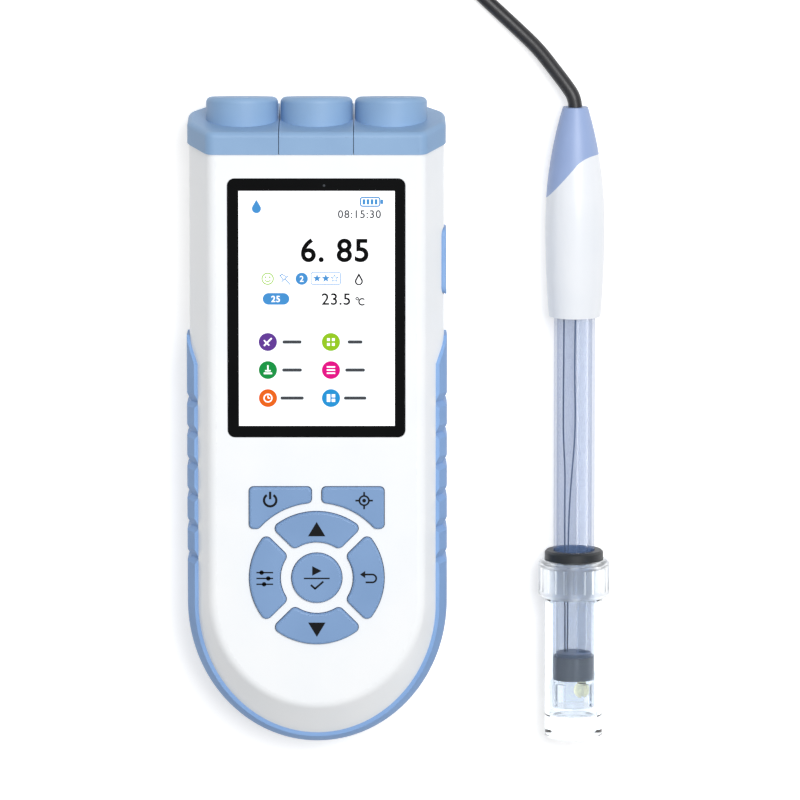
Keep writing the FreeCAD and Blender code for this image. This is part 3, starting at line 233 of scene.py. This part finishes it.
def metal(name, color, roughness):
    material = principled(name, color, roughness, Metallic=1.0)
    grain = noise(material, METAL_SCALE)
    vary_roughness(material, grain, roughness - METAL_SMOOTHER, roughness + METAL_ROUGHER)
    bump(material, grain, METAL_DEPTH, METAL_STRENGTH)
    return material


WHITE = moulded("white_shell", srgb(249, 251, 253), srgb(246, 249, 252), 0.34, 0.006, Coat_Weight=SOFT_COAT)
BUMPER = moulded("blue_bumper", srgb(134, 172, 222), srgb(128, 166, 217), 0.55)
CAP = moulded("blue_cap", srgb(140, 174, 211), srgb(135, 169, 207), 0.5)
KEY = moulded("key_rubber", srgb(126, 160, 204), srgb(121, 155, 199), 0.48, 0.012)
PANE = moulded("window_black", srgb(8, 9, 10), srgb(11, 12, 13), 0.08, 0.001, Specular_IOR_Level=LOW_SHINE)
CELL = moulded("display_cell", srgb(170, 175, 180), srgb(160, 165, 170), 0.3)
BLACK = moulded("black_plastic", srgb(32, 33, 35), srgb(27, 28, 30), 0.5)
BOARD = moulded("board_green", srgb(24, 92, 58), srgb(20, 84, 52), 0.35, 0.01, 500.0)
MAT = moulded("mat_grey", srgb(150, 152, 155), srgb(143, 145, 148), 0.6)
SEAL = moulded("seal_black", srgb(38, 42, 46), srgb(32, 36, 40), 0.45, 0.01)
STEEL = metal("steel", srgb(190, 190, 192), 0.3)
NICKEL = metal("nickel", srgb(208, 206, 200), 0.2)
GOLD = metal("gold_pin", srgb(226, 190, 110), 0.22)
WRAP = moulded("battery_wrap", srgb(60, 96, 160), srgb(54, 88, 150), 0.3)
HANDLE = moulded("handle_white", srgb(239, 242, 247), srgb(235, 239, 245), 0.3, 0.004, Coat_Weight=SOFT_COAT)
BOOT = moulded("boot_blue", srgb(155, 176, 218), srgb(150, 171, 214), 0.42, 0.008)
SHAFT = thin_clear("clear_shaft", srgb(130, 160, 212), 0.05, 0.18, 0.45, 0.001)
GUARD = clear("clear_guard", srgb(246, 249, 253), 0.03, 1.2, 0.001)
TUBE = clear("clear_glass", srgb(245, 247, 250), 0.02, 1.2, 0.001, Coat_Weight=GLASS_COAT)
BULB = clear("bulb_glass", srgb(250, 246, 212), 0.05, 1.3, 0.001)
BOTTLE = clear("clear_bottle", srgb(244, 248, 252), 0.03, 1.33, 0.001, Coat_Weight=GLASS_COAT)
FROST = clear("frosted_collar", srgb(248, 250, 252), 0.4, 1.3, 0.01)
LIQUID = thin_clear("storage_liquid", srgb(196, 216, 240), 0.02, 0.04, 0.5, 0.004)
CLOUDY = moulded("grey_stopper", srgb(118, 126, 138), srgb(110, 118, 130), 0.4, 0.008)
WIRE = metal("dark_wire", srgb(70, 72, 78), 0.35)
LEAD = moulded("lead_black", srgb(44, 44, 47), srgb(38, 38, 41), 0.42, 0.008, 900.0)

FINISHES = {
    "white_shell": WHITE,
    "blue_bumper": BUMPER,
    "blue_cap": CAP,
    "key_rubber": KEY,
    "window_black": PANE,
    "display_cell": CELL,
    "black_plastic": BLACK,
    "board_green": BOARD,
    "mat_grey": MAT,
    "seal_black": SEAL,
    "steel": STEEL,
    "nickel": NICKEL,
    "gold_pin": GOLD,
    "battery_wrap": WRAP,
    "handle_white": HANDLE,
    "boot_blue": BOOT,
    "clear_shaft": SHAFT,
    "clear_glass": TUBE,
    "bulb_glass": BULB,
    "clear_bottle": BOTTLE,
    "dark_wire": WIRE,
    "lead_black": LEAD,
}
OWN_FINISHES = {"screw_collar": FROST, "shaft_stopper": CLOUDY, "tip_guard": GUARD}
SLOT_OF = {row["node"]: row["material_slot"] for row in frame["record"]["subparts"]}
SMOOTH_ANGLE = math.radians(32)


def dress_nodes():
    """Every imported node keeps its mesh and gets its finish."""
    for name, node in NODES.items():
        node.data.materials.clear()
        node.data.materials.append(OWN_FINISHES.get(name, FINISHES[SLOT_OF[name]]))
        node.data.shade_smooth()
        node.data.set_sharp_from_angle(angle=SMOOTH_ANGLE)


dress_nodes()

# Lead: from the boot, over the bench, through the coil's turns and into the plug
CORD_R = 2.0
CORD_STEPS = 5
EXIT = (74.2, 95.28, 8.01)
ROUTE = (
    (74.0, 97.9, 7.85),
    (71.8, 101.2, 7.2),
    (68.2, 105.8, 6.0),
    (63.6, 111.6, 4.3),
    (57.4, 117.4, 2.9),
    (49.2, 124.9, 2.1),
)
COIL_CENTRE = (50.0, 162.0)
COIL_RADII = (27.0, 23.0, 19.0, 19.0, 23.0, 27.0)
COIL_LOWER_Z = CORD_R
COIL_UPPER_Z = 3 * CORD_R
COIL_JOIN = math.radians(225)
COIL_EASE_FROM = 0.7
STUB = 15.4
TURN_POINTS = 16
TAIL_MID = (16.9, 157.1, 6.6)
PLUG_START = (13.7, 160.4, 7.2)


def coil_height(turn):
    return COIL_LOWER_Z if turn < len(COIL_RADII) // 2 else COIL_UPPER_Z


def coil_points():
    """Control points of the neat coil, turn beside turn and layer on layer."""
    widen = 1 / math.cos(math.pi / TURN_POINTS)
    points = []
    for step in range(len(COIL_RADII) * TURN_POINTS + 1):
        turn = min(step // TURN_POINTS, len(COIL_RADII) - 1)
        following = min(turn + 1, len(COIL_RADII) - 1)
        part = step / TURN_POINTS - turn
        ease = max(0.0, min(1.0, (part - COIL_EASE_FROM) / (1 - COIL_EASE_FROM)))
        radius = COIL_RADII[turn] + (COIL_RADII[following] - COIL_RADII[turn]) * ease
        height = coil_height(turn) + (coil_height(following) - coil_height(turn)) * ease
        angle = COIL_JOIN - 2 * math.pi * step / TURN_POINTS
        x = COIL_CENTRE[0] + radius * widen * math.cos(angle)
        y = COIL_CENTRE[1] + radius * widen * math.sin(angle)
        points.append((x, y, height))
    return points


def beside_join(distance, height):
    """A point on the straight line by which the lead joins or leaves the coil."""
    x = COIL_CENTRE[0] + COIL_RADII[0] * math.cos(COIL_JOIN) + distance * math.sin(COIL_JOIN)
    y = COIL_CENTRE[1] + COIL_RADII[0] * math.sin(COIL_JOIN) - distance * math.cos(COIL_JOIN)
    return (x, y, height)


def make_lead():
    points = [EXIT, *ROUTE, beside_join(-STUB, COIL_LOWER_Z)]
    points += coil_points()
    points += [beside_join(STUB / 2, COIL_UPPER_Z), beside_join(STUB, COIL_UPPER_Z)]
    points += [TAIL_MID, PLUG_START]
    data = bpy.data.curves.new("lead", "CURVE")
    data.dimensions = "3D"
    data.bevel_depth = CORD_R * MM
    data.bevel_resolution = CORD_STEPS
    data.resolution_u = CORD_STEPS
    data.use_fill_caps = True
    spline = data.splines.new("NURBS")
    spline.points.add(len(points) - 1)
    for control, point in zip(spline.points, points):
        control.co = (*mm(*point), 1.0)
    spline.order_u = 3
    spline.use_endpoint_u = True
    data.materials.append(LEAD)
    lead = add("lead", data)
    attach(lead, "meter")
    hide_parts("lead_cable", "lead_coil", "lead_tail")


make_lead()

# Liquid: a cup between the bottle's wall and the tip guard, its top leaning
PROBE_X = 74.2
REST_Y = -37.5
REST_Z = 10.2985
PROBE_TILT = math.radians(0.9888)
LIQUID_WALL_R = 7.15
LIQUID_CORNER = 0.6
LIQUID_HOLE_R = 6.15
LIQUID_FLOOR = -82.45
LIQUID_HOLE_FLOOR = -79.65
LIQUID_TOP = -71.0
LIQUID_LEAN = 0.2
LIQUID_SIDES = 40


def on_probe(across, along, up):
    """A place in metres from the electrode's own axes, which tilt a little."""
    reach = along - REST_Y
    y = REST_Y + reach * math.cos(PROBE_TILT) + up * math.sin(PROBE_TILT)
    z = REST_Z - reach * math.sin(PROBE_TILT) + up * math.cos(PROBE_TILT)
    return mm(PROBE_X + across, y, z)


def make_liquid():
    rows = (
        (LIQUID_WALL_R - LIQUID_CORNER, LIQUID_FLOOR, 0.0),
        (LIQUID_WALL_R, LIQUID_FLOOR + LIQUID_CORNER, 0.0),
        (LIQUID_WALL_R, LIQUID_TOP, LIQUID_LEAN),
        (LIQUID_HOLE_R, LIQUID_TOP, LIQUID_LEAN),
        (LIQUID_HOLE_R, LIQUID_HOLE_FLOOR, 0.0),
    )
    mesh = bmesh.new()
    rings = []
    for radius, height, lean in rows:
        ring = []
        for side in range(LIQUID_SIDES):
            turn = 2 * math.pi * side / LIQUID_SIDES
            across = radius * math.cos(turn)
            ring.append(mesh.verts.new(on_probe(across, height + lean * across, radius * math.sin(turn))))
        rings.append(ring)
    mesh.faces.new(rings[0])
    mesh.faces.new(rings[-1])
    for low, high in zip(rings, rings[1:]):
        for side in range(LIQUID_SIDES):
            following = (side + 1) % LIQUID_SIDES
            mesh.faces.new((low[side], low[following], high[following], high[side]))
    bmesh.ops.recalc_face_normals(mesh, faces=mesh.faces)
    data = bpy.data.meshes.new("storage_liquid")
    mesh.to_mesh(data)
    mesh.free()
    data.materials.append(LIQUID)
    data.shade_smooth()
    data.set_sharp_from_angle(angle=SMOOTH_ANGLE)
    liquid = add("storage_liquid", data)
    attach(liquid, "bottle")


make_liquid()

# Flat work: screen content and key legends as thin closed plates, in millimetres
THIN = 0.02
CIRCLE_STEPS = 28
CORNER_STEPS = 6
DROP_STEPS = 16
DROP_START = 150
DROP_END = 390
STAR_POINTS = 5
STAR_WAIST = 0.42


def arc(x, y, radius, start=0.0, end=360.0, count=CIRCLE_STEPS):
    """Points along an arc, in degrees."""
    steps = [math.radians(start + (end - start) * step / count) for step in range(count + 1)]
    return [(x + radius * math.cos(turn), y + radius * math.sin(turn)) for turn in steps]


def disc(x, y, radius):
    return arc(x, y, radius)[:-1]


def band(x, y, outer, inner, start=0.0, end=360.0):
    """A ring or part of one, as two outlines that close."""
    middle = (start + end) / 2
    halves = []
    for low, high in ((start, middle), (middle, end)):
        halves.append(arc(x, y, outer, low, high) + arc(x, y, inner, high, low))
    return halves


def bar(x0, y0, x1, y1):
    return [(x0, y0), (x1, y0), (x1, y1), (x0, y1)]


def bars(x, y, boxes):
    """Rectangles, each given by two corners from a middle."""
    return [bar(x + x0, y + y0, x + x1, y + y1) for x0, y0, x1, y1 in boxes]


def stroke(x0, y0, x1, y1, width):
    """A straight line of a given width."""
    along = Vector((x1 - x0, y1 - y0)).normalized()
    side = Vector((-along.y, along.x)) * width / 2
    return [
        (x0 + side.x, y0 + side.y),
        (x0 - side.x, y0 - side.y),
        (x1 - side.x, y1 - side.y),
        (x1 + side.x, y1 + side.y),
    ]


def strokes(x, y, width, lines):
    """Straight lines of one width, each given by its two ends from a middle."""
    return [stroke(x + x0, y + y0, x + x1, y + y1, width) for x0, y0, x1, y1 in lines]


def soft_bar(x0, y0, x1, y1, radius):
    """A rectangle with round corners."""
    corners = (
        (x1 - radius, y1 - radius, 0),
        (x0 + radius, y1 - radius, 90),
        (x0 + radius, y0 + radius, 180),
        (x1 - radius, y0 + radius, 270),
    )
    outline = []
    for x, y, start in corners:
        outline += arc(x, y, radius, start, start + 90, CORNER_STEPS)
    return outline


def drop(x, y, radius, tip):
    """A drop, round below and pointed above."""
    return arc(x, y, radius, DROP_START, DROP_END, DROP_STEPS) + [(x, tip)]


def star(x, y, radius):
    outline = []
    for step in range(2 * STAR_POINTS):
        reach = radius if step % 2 == 0 else radius * STAR_WAIST
        turn = math.radians(90 + 180 * step / STAR_POINTS)
        outline.append((x + reach * math.cos(turn), y + reach * math.sin(turn)))
    return outline


def plates(name, outlines, low, material, body):
    """Thin closed plates over flat outlines."""
    mesh = bmesh.new()
    for outline in outlines:
        under = [mesh.verts.new(mm(x, y, low)) for x, y in outline]
        over = [mesh.verts.new(mm(x, y, low + THIN)) for x, y in outline]
        mesh.faces.new(over)
        mesh.faces.new(under[::-1])
        for index in range(len(outline)):
            following = (index + 1) % len(outline)
            mesh.faces.new((under[index], under[following], over[following], over[index]))
    bmesh.ops.recalc_face_normals(mesh, faces=mesh.faces)
    bmesh.ops.triangulate(mesh, faces=[face for face in mesh.faces if len(face.verts) > 4])
    data = bpy.data.meshes.new(name)
    mesh.to_mesh(data)
    mesh.free()
    data.materials.append(material)
    piece = add(name, data)
    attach(piece, body)


def figures(name, words, x, y, size, low, material, heavy, spread=1.0):
    """Numerals on the screen, from the left end of their base line."""
    data = bpy.data.curves.new(name, "FONT")
    data.body = words
    data.size = size * MM
    data.offset = heavy * MM
    data.space_character = spread
    data.extrude = THIN / 2 * MM
    text = add(name + "_text", data)
    text.location = mm(x, y, low + THIN / 2)
    bpy.context.view_layer.update()
    mesh = bpy.data.meshes.new_from_object(text.evaluated_get(bpy.context.evaluated_depsgraph_get()))
    mesh.transform(text.matrix_world)
    bpy.data.objects.remove(text)
    mesh.materials.clear()
    mesh.materials.append(material)
    piece = add(name, mesh)
    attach(piece, "meter")


# Photograph's frame: how the pane's millimetres show as pixels, u to the right and v down
PANE_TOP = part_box("display_window")[1].z / MM
MIDDLE_U = 316.5
ORIGIN_V = 429.05
U_PER_MM = 3.5
V_PER_MM = 3.447
LIFT_V = 0.6076


def at(u, v):
    """Millimetres on the pane under a place in the photograph's frame."""
    return (u - MIDDLE_U) / U_PER_MM, (ORIGIN_V + LIFT_V * PANE_TOP - v) / V_PER_MM


def box_at(left, top, right, bottom):
    """A box on the pane, low corner first, from its sides in the photograph's frame."""
    return (*at(left, bottom), *at(right, top))


# Screen: places and boxes in the photograph's frame, other sizes in millimetres
FIELD = box_at(239, 191.8, 394.8, 425.8)
CARD = box_at(250, 227, 384, 318)
CARD_CORNER = 3.0
CARD_RIM = 0.15
SENSOR_AT = at(324.4, 186.5)
SENSOR_R = 0.35
DROP_AT = at(257, 208)
BATTERY = box_at(360, 197.6, 380.6, 207.6)
BATTERY_CORNER = 0.8
BATTERY_RIM = 0.38
BATTERY_CELLS = 4
BATTERY_CELL_FILL = 0.66
BATTERY_CELLS_IN = 0.8
BATTERY_CELLS_SPARE = 1.3
BATTERY_CELL_EDGE = 0.7
BATTERY_TIP = (0.05, 0.8, 0.75, -0.8)
BATTERY_TIP_CORNER = 0.3
CLOCK_AT = at(338, 218.6)
CLOCK_SIZE = 3.2
VALUE_AT = at(300.5, 261.6)
VALUE_SIZE = 9.2
FACE_AT = at(268, 279)
PIN_AT = at(285, 279)
PIN_WIDTH = 0.22
PIN_NEEDLE_WIDTH = 0.24
BADGE_AT = at(302, 279)
BADGE_R = 1.75
BADGE_SIZE = 2.4
STARS = box_at(311, 272.2, 341, 285)
STARS_CORNER = 0.7
STARS_RIM = 0.2
STAR_SHARES = (0.21, 0.5, 0.79)
STAR_R = 1.25
STAR_HOLLOW_R = 0.8
UNIT_AT = at(359, 280.5)
PILL = box_at(263, 293.2, 289.6, 304.8)
PILL_FLAT = 0.01
PILL_SIZE = 2.5
TEMPERATURE_AT = at(321.4, 304.8)
TEMPERATURE_SIZE = 4.7
DEGREE_AT = at(361.5, 301.6)
MENU_COLUMNS = (268, 331)
MENU_ROWS = (342, 370, 398)
MENU_DISC_R = 2.6
MENU_BACK = (-1.5, -2.5, 12.6, 2.5)
MENU_BACK_CORNER = 2.4
LABEL_MIDDLE = 6.9
LABEL_HALF = 0.45
LABEL_CORNER = 0.4

FIELD_GLOW = 0.35
BACK_GLOW = 0.25
MARK_GLOW = 0.05
GLOW_ROUGHNESS = 0.12
GLOW_DEPTH = 0.0015
GLOW_SCALE = 400.0


def glow(name, color, strength):
    """A patch of the lit screen under its glossy pane."""
    material = moulded(
        name, color, color, GLOW_ROUGHNESS, GLOW_DEPTH, GLOW_SCALE, Specular_IOR_Level=LOW_SHINE
    )
    shader = material.node_tree.nodes["Principled BSDF"]
    shader.inputs["Emission Color"].default_value = color
    shader.inputs["Emission Strength"].default_value = strength
    return material


SCREEN_WHITE = glow("screen_white", srgb(250, 251, 253), FIELD_GLOW)
SCREEN_CARD = glow("screen_card", srgb(243, 247, 251), FIELD_GLOW)
SCREEN_PILL = glow("screen_pill", srgb(244, 249, 253), BACK_GLOW)
SCREEN_INK = glow("screen_ink", srgb(6, 6, 7), 0.0)
SCREEN_GREY = glow("screen_grey", srgb(70, 73, 78), MARK_GLOW)
SCREEN_BLUE = glow("screen_blue", srgb(70, 145, 208), MARK_GLOW)
SCREEN_LIME = glow("screen_lime", srgb(146, 196, 30), MARK_GLOW)


def screen(name, outlines, layer, material):
    """Plates on the pane, over as many layers of other plates."""
    plates(name, outlines, PANE_TOP + THIN * layer, material, "meter")


def screen_figures(name, words, place, size, layer, material, heavy, spread=1.0):
    figures(name, words, *place, size, PANE_TOP + THIN * layer, material, heavy, spread)


def inset(box, rim):
    """A box drawn in by the same rim on all sides."""
    x0, y0, x1, y1 = box
    return (x0 + rim, y0 + rim, x1 - rim, y1 - rim)


def ringed(name, box, corner, rim, layer):
    """A rounded outline: a blue plate with a white one on it."""
    screen(name + "_rim", [soft_bar(*box, corner)], layer, SCREEN_BLUE)
    screen(name + "_inside", [soft_bar(*inset(box, rim), corner - rim)], layer + 1, SCREEN_WHITE)


def make_field():
    """The lit field, the card under the reading and the sensor above the field."""
    screen("screen_field", [bar(*FIELD)], 0, SCREEN_WHITE)
    screen("screen_card_edge", [soft_bar(*CARD, CARD_CORNER)], 1, SCREEN_CARD)
    card = soft_bar(*inset(CARD, CARD_RIM), CARD_CORNER - CARD_RIM)
    screen("screen_reading_card", [card], 2, SCREEN_WHITE)
    screen("light_sensor", [disc(*SENSOR_AT, SENSOR_R)], 0, SCREEN_GREY)


def make_status():
    """A drop mark at the left, a battery and a clock line at the right of the top row."""
    x, y = DROP_AT
    screen("screen_drop", [drop(x, y - 0.4, 1.3, y + 2.2)], 1, SCREEN_BLUE)
    ringed("screen_battery", BATTERY, BATTERY_CORNER, BATTERY_RIM, 1)
    x0, y0, x1, y1 = BATTERY
    tip = (x1 + BATTERY_TIP[0], y0 + BATTERY_TIP[1], x1 + BATTERY_TIP[2], y1 + BATTERY_TIP[3])
    screen("screen_battery_tip", [soft_bar(*tip, BATTERY_TIP_CORNER)], 1, SCREEN_BLUE)
    step = (x1 - x0 - BATTERY_CELLS_SPARE) / BATTERY_CELLS
    cells = []
    for index in range(BATTERY_CELLS):
        left = x0 + BATTERY_CELLS_IN + step * index
        right = left + step * BATTERY_CELL_FILL
        cells.append(bar(left, y0 + BATTERY_CELL_EDGE, right, y1 - BATTERY_CELL_EDGE))
    screen("screen_battery_cells", cells, 3, SCREEN_BLUE)
    screen_figures("screen_clock", "08:15:30", CLOCK_AT, CLOCK_SIZE, 1, SCREEN_GREY, 0.04, 1.12)


def make_marks():
    """The row of marks under the value: a face, a pin, a badge, three stars and a drop."""
    x, y = FACE_AT
    face = band(x, y, 1.75, 1.45) + [disc(x - 0.6, y + 0.45, 0.24), disc(x + 0.6, y + 0.45, 0.24)]
    face += band(x, y, 0.95, 0.7, 200, 340)
    screen("screen_stable", face, 3, SCREEN_LIME)
    head = ((-1.5, 0.7, -0.7, 1.5), (-1.2, 0.9, -0.5, -0.3), (-0.8, 1.3, 0.4, 0.6), (-0.9, -0.9, 1.0, 0.9))
    pin = strokes(*PIN_AT, PIN_WIDTH, head)
    pin += strokes(*PIN_AT, PIN_NEEDLE_WIDTH, [(0, 0, 1.6, -1.7)])
    screen("screen_pin", pin, 3, SCREEN_BLUE)
    x, y = BADGE_AT
    screen("screen_badge", [disc(x, y, BADGE_R)], 3, SCREEN_BLUE)
    number_at = (x - 0.62, y - 0.85)
    screen_figures("screen_badge_number", "2", number_at, BADGE_SIZE, 4, SCREEN_WHITE, 0.03)
    ringed("screen_stars", STARS, STARS_CORNER, STARS_RIM, 3)
    x0, y0, x1, y1 = STARS
    places = [(x0 + (x1 - x0) * share, (y0 + y1) / 2) for share in STAR_SHARES]
    screen("screen_star_marks", [star(*place, STAR_R) for place in places], 5, SCREEN_BLUE)
    screen("screen_star_hollow", [star(*places[-1], STAR_HOLLOW_R)], 6, SCREEN_WHITE)
    x, y = UNIT_AT
    screen("screen_unit", [drop(x, y - 0.3, 1.15, y + 2.1)], 3, SCREEN_INK)
    screen("screen_unit_inside", [drop(x, y - 0.35, 0.72, y + 1.2)], 4, SCREEN_WHITE)


def make_reading():
    """The main value, the marks under it, a pill and the temperature with its degree mark."""
    screen_figures("screen_value", "6. 85", VALUE_AT, VALUE_SIZE, 3, SCREEN_INK, 0.18, 1.08)
    make_marks()
    x0, y0, x1, y1 = PILL
    screen("screen_pill", [soft_bar(*PILL, (y1 - y0) / 2 - PILL_FLAT)], 3, SCREEN_BLUE)
    number_at = (x0 + 2.4, y0 + 0.8)
    screen_figures("screen_pill_number", "25", number_at, PILL_SIZE, 4, SCREEN_WHITE, 0.05, 1.1)
    screen_figures("screen_temperature", "23.5", TEMPERATURE_AT, TEMPERATURE_SIZE, 3, SCREEN_INK, 0.04, 1.06)
    x, y = DEGREE_AT
    marks = band(x - 1.2, y + 0.8, 0.5, 0.22) + band(x + 0.2, y - 0.1, 1.1, 0.7, 45, 315)
    screen("screen_degree", marks, 3, SCREEN_INK)


def clamp_mark(x, y):
    return strokes(x, y, 0.45, [(-1.1, -1.1, 1.1, 1.1)]) + strokes(x, y, 0.4, [(-1.1, 0.5, 0.4, -1.0)])


def tray_mark(x, y):
    stem = strokes(x, y, 0.4, [(0, -0.4, 0, 1.4)])
    return bars(x, y, [(-1.2, -1.2, 1.2, -0.7)]) + stem + bars(x, y, [(-0.8, -0.4, 0.8, 0)])


def clock_mark(x, y):
    return band(x, y, 1.3, 0.95) + strokes(x, y, 0.3, [(0, 0, 0, 0.8), (0, 0, 0.6, 0)])


def grid_mark(x, y):
    middles = [(across, up) for across in (-0.7, 0.7) for up in (-0.7, 0.7)]
    return [bar(x + a - 0.4, y + b - 0.4, x + a + 0.4, y + b + 0.4) for a, b in middles]


def list_mark(x, y):
    return [bar(x - 1.2, y + up - 0.2, x + 1.2, y + up + 0.2) for up in (-0.9, 0.0, 0.9)]


def tiles_mark(x, y):
    return bars(x, y, [(-1.2, -1.1, -0.2, 1.1), (0.2, 0.2, 1.2, 1.1), (0.2, -1.1, 1.2, -0.2)])


# Menu discs, down the left column and then the right: material, label's length and mark
MENU = {
    "purple": (glow("screen_purple", srgb(98, 58, 148), MARK_GLOW), 5.4, clamp_mark),
    "green": (glow("screen_green", srgb(22, 145, 66), MARK_GLOW), 5.6, tray_mark),
    "orange": (glow("screen_orange", srgb(232, 100, 24), MARK_GLOW), 6.6, clock_mark),
    "lime": (SCREEN_LIME, 4.2, grid_mark),
    "magenta": (glow("screen_magenta", srgb(222, 14, 132), MARK_GLOW), 5.6, list_mark),
    "cyan": (glow("screen_cyan", srgb(38, 146, 210), MARK_GLOW), 6.4, tiles_mark),
}


def make_menu():
    """Six discs with a plain mark each, and a bar in place of a label."""
    for index, (name, (material, length, mark)) in enumerate(MENU.items()):
        column, row = divmod(index, len(MENU_ROWS))
        x, y = at(MENU_COLUMNS[column], MENU_ROWS[row])
        x0, y0, x1, y1 = MENU_BACK
        back = soft_bar(x + x0, y + y0, x + x1, y + y1, MENU_BACK_CORNER)
        screen(f"screen_back_{name}", [back], 1, SCREEN_PILL)
        screen(f"screen_disc_{name}", [disc(x, y, MENU_DISC_R)], 2, material)
        screen(f"screen_mark_{name}", mark(x, y), 3, SCREEN_WHITE)
        left = x + LABEL_MIDDLE - length / 2
        label = soft_bar(left, y - LABEL_HALF, left + length, y + LABEL_HALF, LABEL_CORNER)
        screen(f"screen_label_{name}", [label], 2, SCREEN_GREY)


make_field()
make_status()
make_reading()
make_menu()

# Key legends: the pad's middle, the keys' own middles and the widths of lines
KEY_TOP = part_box("key_enter")[1].z / MM
PAD_Y = -37.3
ARC_MID = 14.9
POWER_MARK = (-13.3, -14.5)
POWER_WIDTH = 0.66
TARGET_MARK = (13.6, -14.6)
TARGET_WIDTH = 0.5
SLIDER_HALF = 2.4
SLIDER_WIDTH = 0.4
SLIDER_KNOB_R = 0.65
BACK_WIDTH = 0.5
DIVIDER_WIDTH = 0.42
TICK_WIDTH = 0.55
INK = moulded("legend_ink", srgb(10, 12, 16), srgb(14, 16, 20), 0.5, 0.002, Specular_IOR_Level=LOW_SHINE)


def legend(name, outlines, body):
    plates(name, outlines, KEY_TOP - THIN / 4, INK, body)


def power_legend():
    """A broken ring with an upright line in its gap."""
    x, y = POWER_MARK
    return band(x, y, 2.1, 1.42, -238, 58) + strokes(x, y, POWER_WIDTH, [(0, 0.3, 0, 2.5)])


def target_legend():
    """A ring with a dot inside and a short line out at each side."""
    x, y = TARGET_MARK
    target = band(x, y, 1.6, 1.1) + [disc(x, y, 0.55)]
    for a, b in ((1, 0), (-1, 0), (0, 1), (0, -1)):
        target += strokes(x, y, TARGET_WIDTH, [(1.5 * a, 1.5 * b, 2.5 * a, 2.5 * b)])
    return target


def sliders_legend():
    """Three lines, each with a round knob."""
    sliders = []
    for up, knob in ((1.7, -0.9), (0.0, 1.0), (-1.7, -0.2)):
        sliders += strokes(-ARC_MID, PAD_Y, SLIDER_WIDTH, [(-SLIDER_HALF, up, SLIDER_HALF, up)])
        sliders.append(disc(knob - ARC_MID, PAD_Y + up, SLIDER_KNOB_R))
    return sliders


def back_legend():
    """An arrow that turns back on itself."""
    x = ARC_MID
    back = strokes(x, PAD_Y, BACK_WIDTH, [(-0.9, -1.15, 1.0, -1.15)])
    back += band(x + 1.0, PAD_Y, 1.4, 0.9, -90, 90)
    back += strokes(x, PAD_Y, BACK_WIDTH, [(-1.0, 1.15, 1.0, 1.15)])
    back.append([(x - 1.0, PAD_Y + 2.2), (x - 2.5, PAD_Y + 1.15), (x - 1.0, PAD_Y + 0.1)])
    return back


def play_legend():
    """A play mark over a line and a tick under it."""
    play = [[(-1.3, PAD_Y + 0.8), (-1.3, PAD_Y + 3.6), (1.4, PAD_Y + 2.2)]]
    play += strokes(0, PAD_Y, DIVIDER_WIDTH, [(-3.7, 0, 3.7, 0)])
    play += strokes(0, PAD_Y, TICK_WIDTH, [(-1.7, -1.9, -0.4, -3.1), (-0.6, -3.1, 1.9, -0.9)])
    return play


def make_legends():
    legend("legend_power", power_legend(), "power_key")
    legend("legend_calibrate", target_legend(), "calibrate_key")
    y = PAD_Y + ARC_MID
    legend("legend_up", [[(-2.5, y - 2.6), (2.5, y - 2.6), (0, y + 1.6)]], "up_key")
    y = PAD_Y - ARC_MID
    legend("legend_down", [[(-2.5, y + 2.0), (0, y - 2.2), (2.5, y + 2.0)]], "down_key")
    legend("legend_set", sliders_legend(), "set_key")
    legend("legend_escape", back_legend(), "escape_key")
    legend("legend_enter", play_legend(), "enter_key")


make_legends()

# Stage and light: the floor in metres, with how far it lies under the part in millimetres
FLOOR_HALF = 3.0
FLOOR_DROP = 0.05
FLOOR_GREY = 0.8
FLOOR_ROUGHNESS = 0.9
# What the floor adds of its own for each kind of ray, where 1 is white
FLOOR_SHOWS = {"Is Camera Ray": 0.5, "Is Glossy Ray": 0.5, "Is Transmission Ray": 0.55}
WORLD_LIGHT = 0.35
# Lamps: place and side in metres, power in watts
KEY_LIGHT = ((0.5, 0.65, 1.9), 1.0, 32.5)
FILL_LIGHT = ((-0.9, 0.5, 1.5), 1.2, 1.0)


def floor_material():
    """A pale surface that takes shadows and shows nearly white behind the part."""
    material = principled("floor", (FLOOR_GREY, FLOOR_GREY, FLOOR_GREY, 1.0), FLOOR_ROUGHNESS)
    tree = material.node_tree
    path = tree.nodes.new("ShaderNodeLightPath")
    strength = None
    for ray, share in FLOOR_SHOWS.items():
        step = tree.nodes.new("ShaderNodeMath")
        step.operation = "MULTIPLY_ADD"
        step.inputs[1].default_value = share
        step.inputs[2].default_value = 0.0
        tree.links.new(path.outputs[ray], step.inputs[0])
        if strength:
            tree.links.new(strength, step.inputs[2])
        strength = step.outputs[0]
    shader = tree.nodes["Principled BSDF"]
    shader.inputs["Emission Color"].default_value = (1, 1, 1, 1)
    tree.links.new(strength, shader.inputs["Emission Strength"])
    return material


def make_floor():
    mesh = bpy.data.meshes.new("floor")
    z = cad_box[0][2] - FLOOR_DROP * MM
    corners = [(x, y, z) for x, y in bar(-FLOOR_HALF, -FLOOR_HALF, FLOOR_HALF, FLOOR_HALF)]
    mesh.from_pydata(corners, [], [(0, 1, 2, 3)])
    mesh.materials.append(floor_material())
    floor = add("floor", mesh)


def lamp(name, place, size, power):
    """A soft square lamp aimed at the same place as the camera."""
    data = bpy.data.lights.new(name, "AREA")
    data.size = size
    data.energy = power
    light = add(name, data)
    light.location = place
    light.rotation_euler = (LOOK_AT - Vector(place)).to_track_quat("-Z", "Y").to_euler()


def make_light():
    world = bpy.data.worlds.new("world")
    bpy.context.scene.world = world
    world.use_nodes = True
    background = world.node_tree.nodes["Background"]
    background.inputs["Color"].default_value = (1.0, 1.0, 1.0, 1.0)
    background.inputs["Strength"].default_value = WORLD_LIGHT
    lamp("key_light", *KEY_LIGHT)
    lamp("fill_light", *FILL_LIGHT)


make_floor()
make_light()
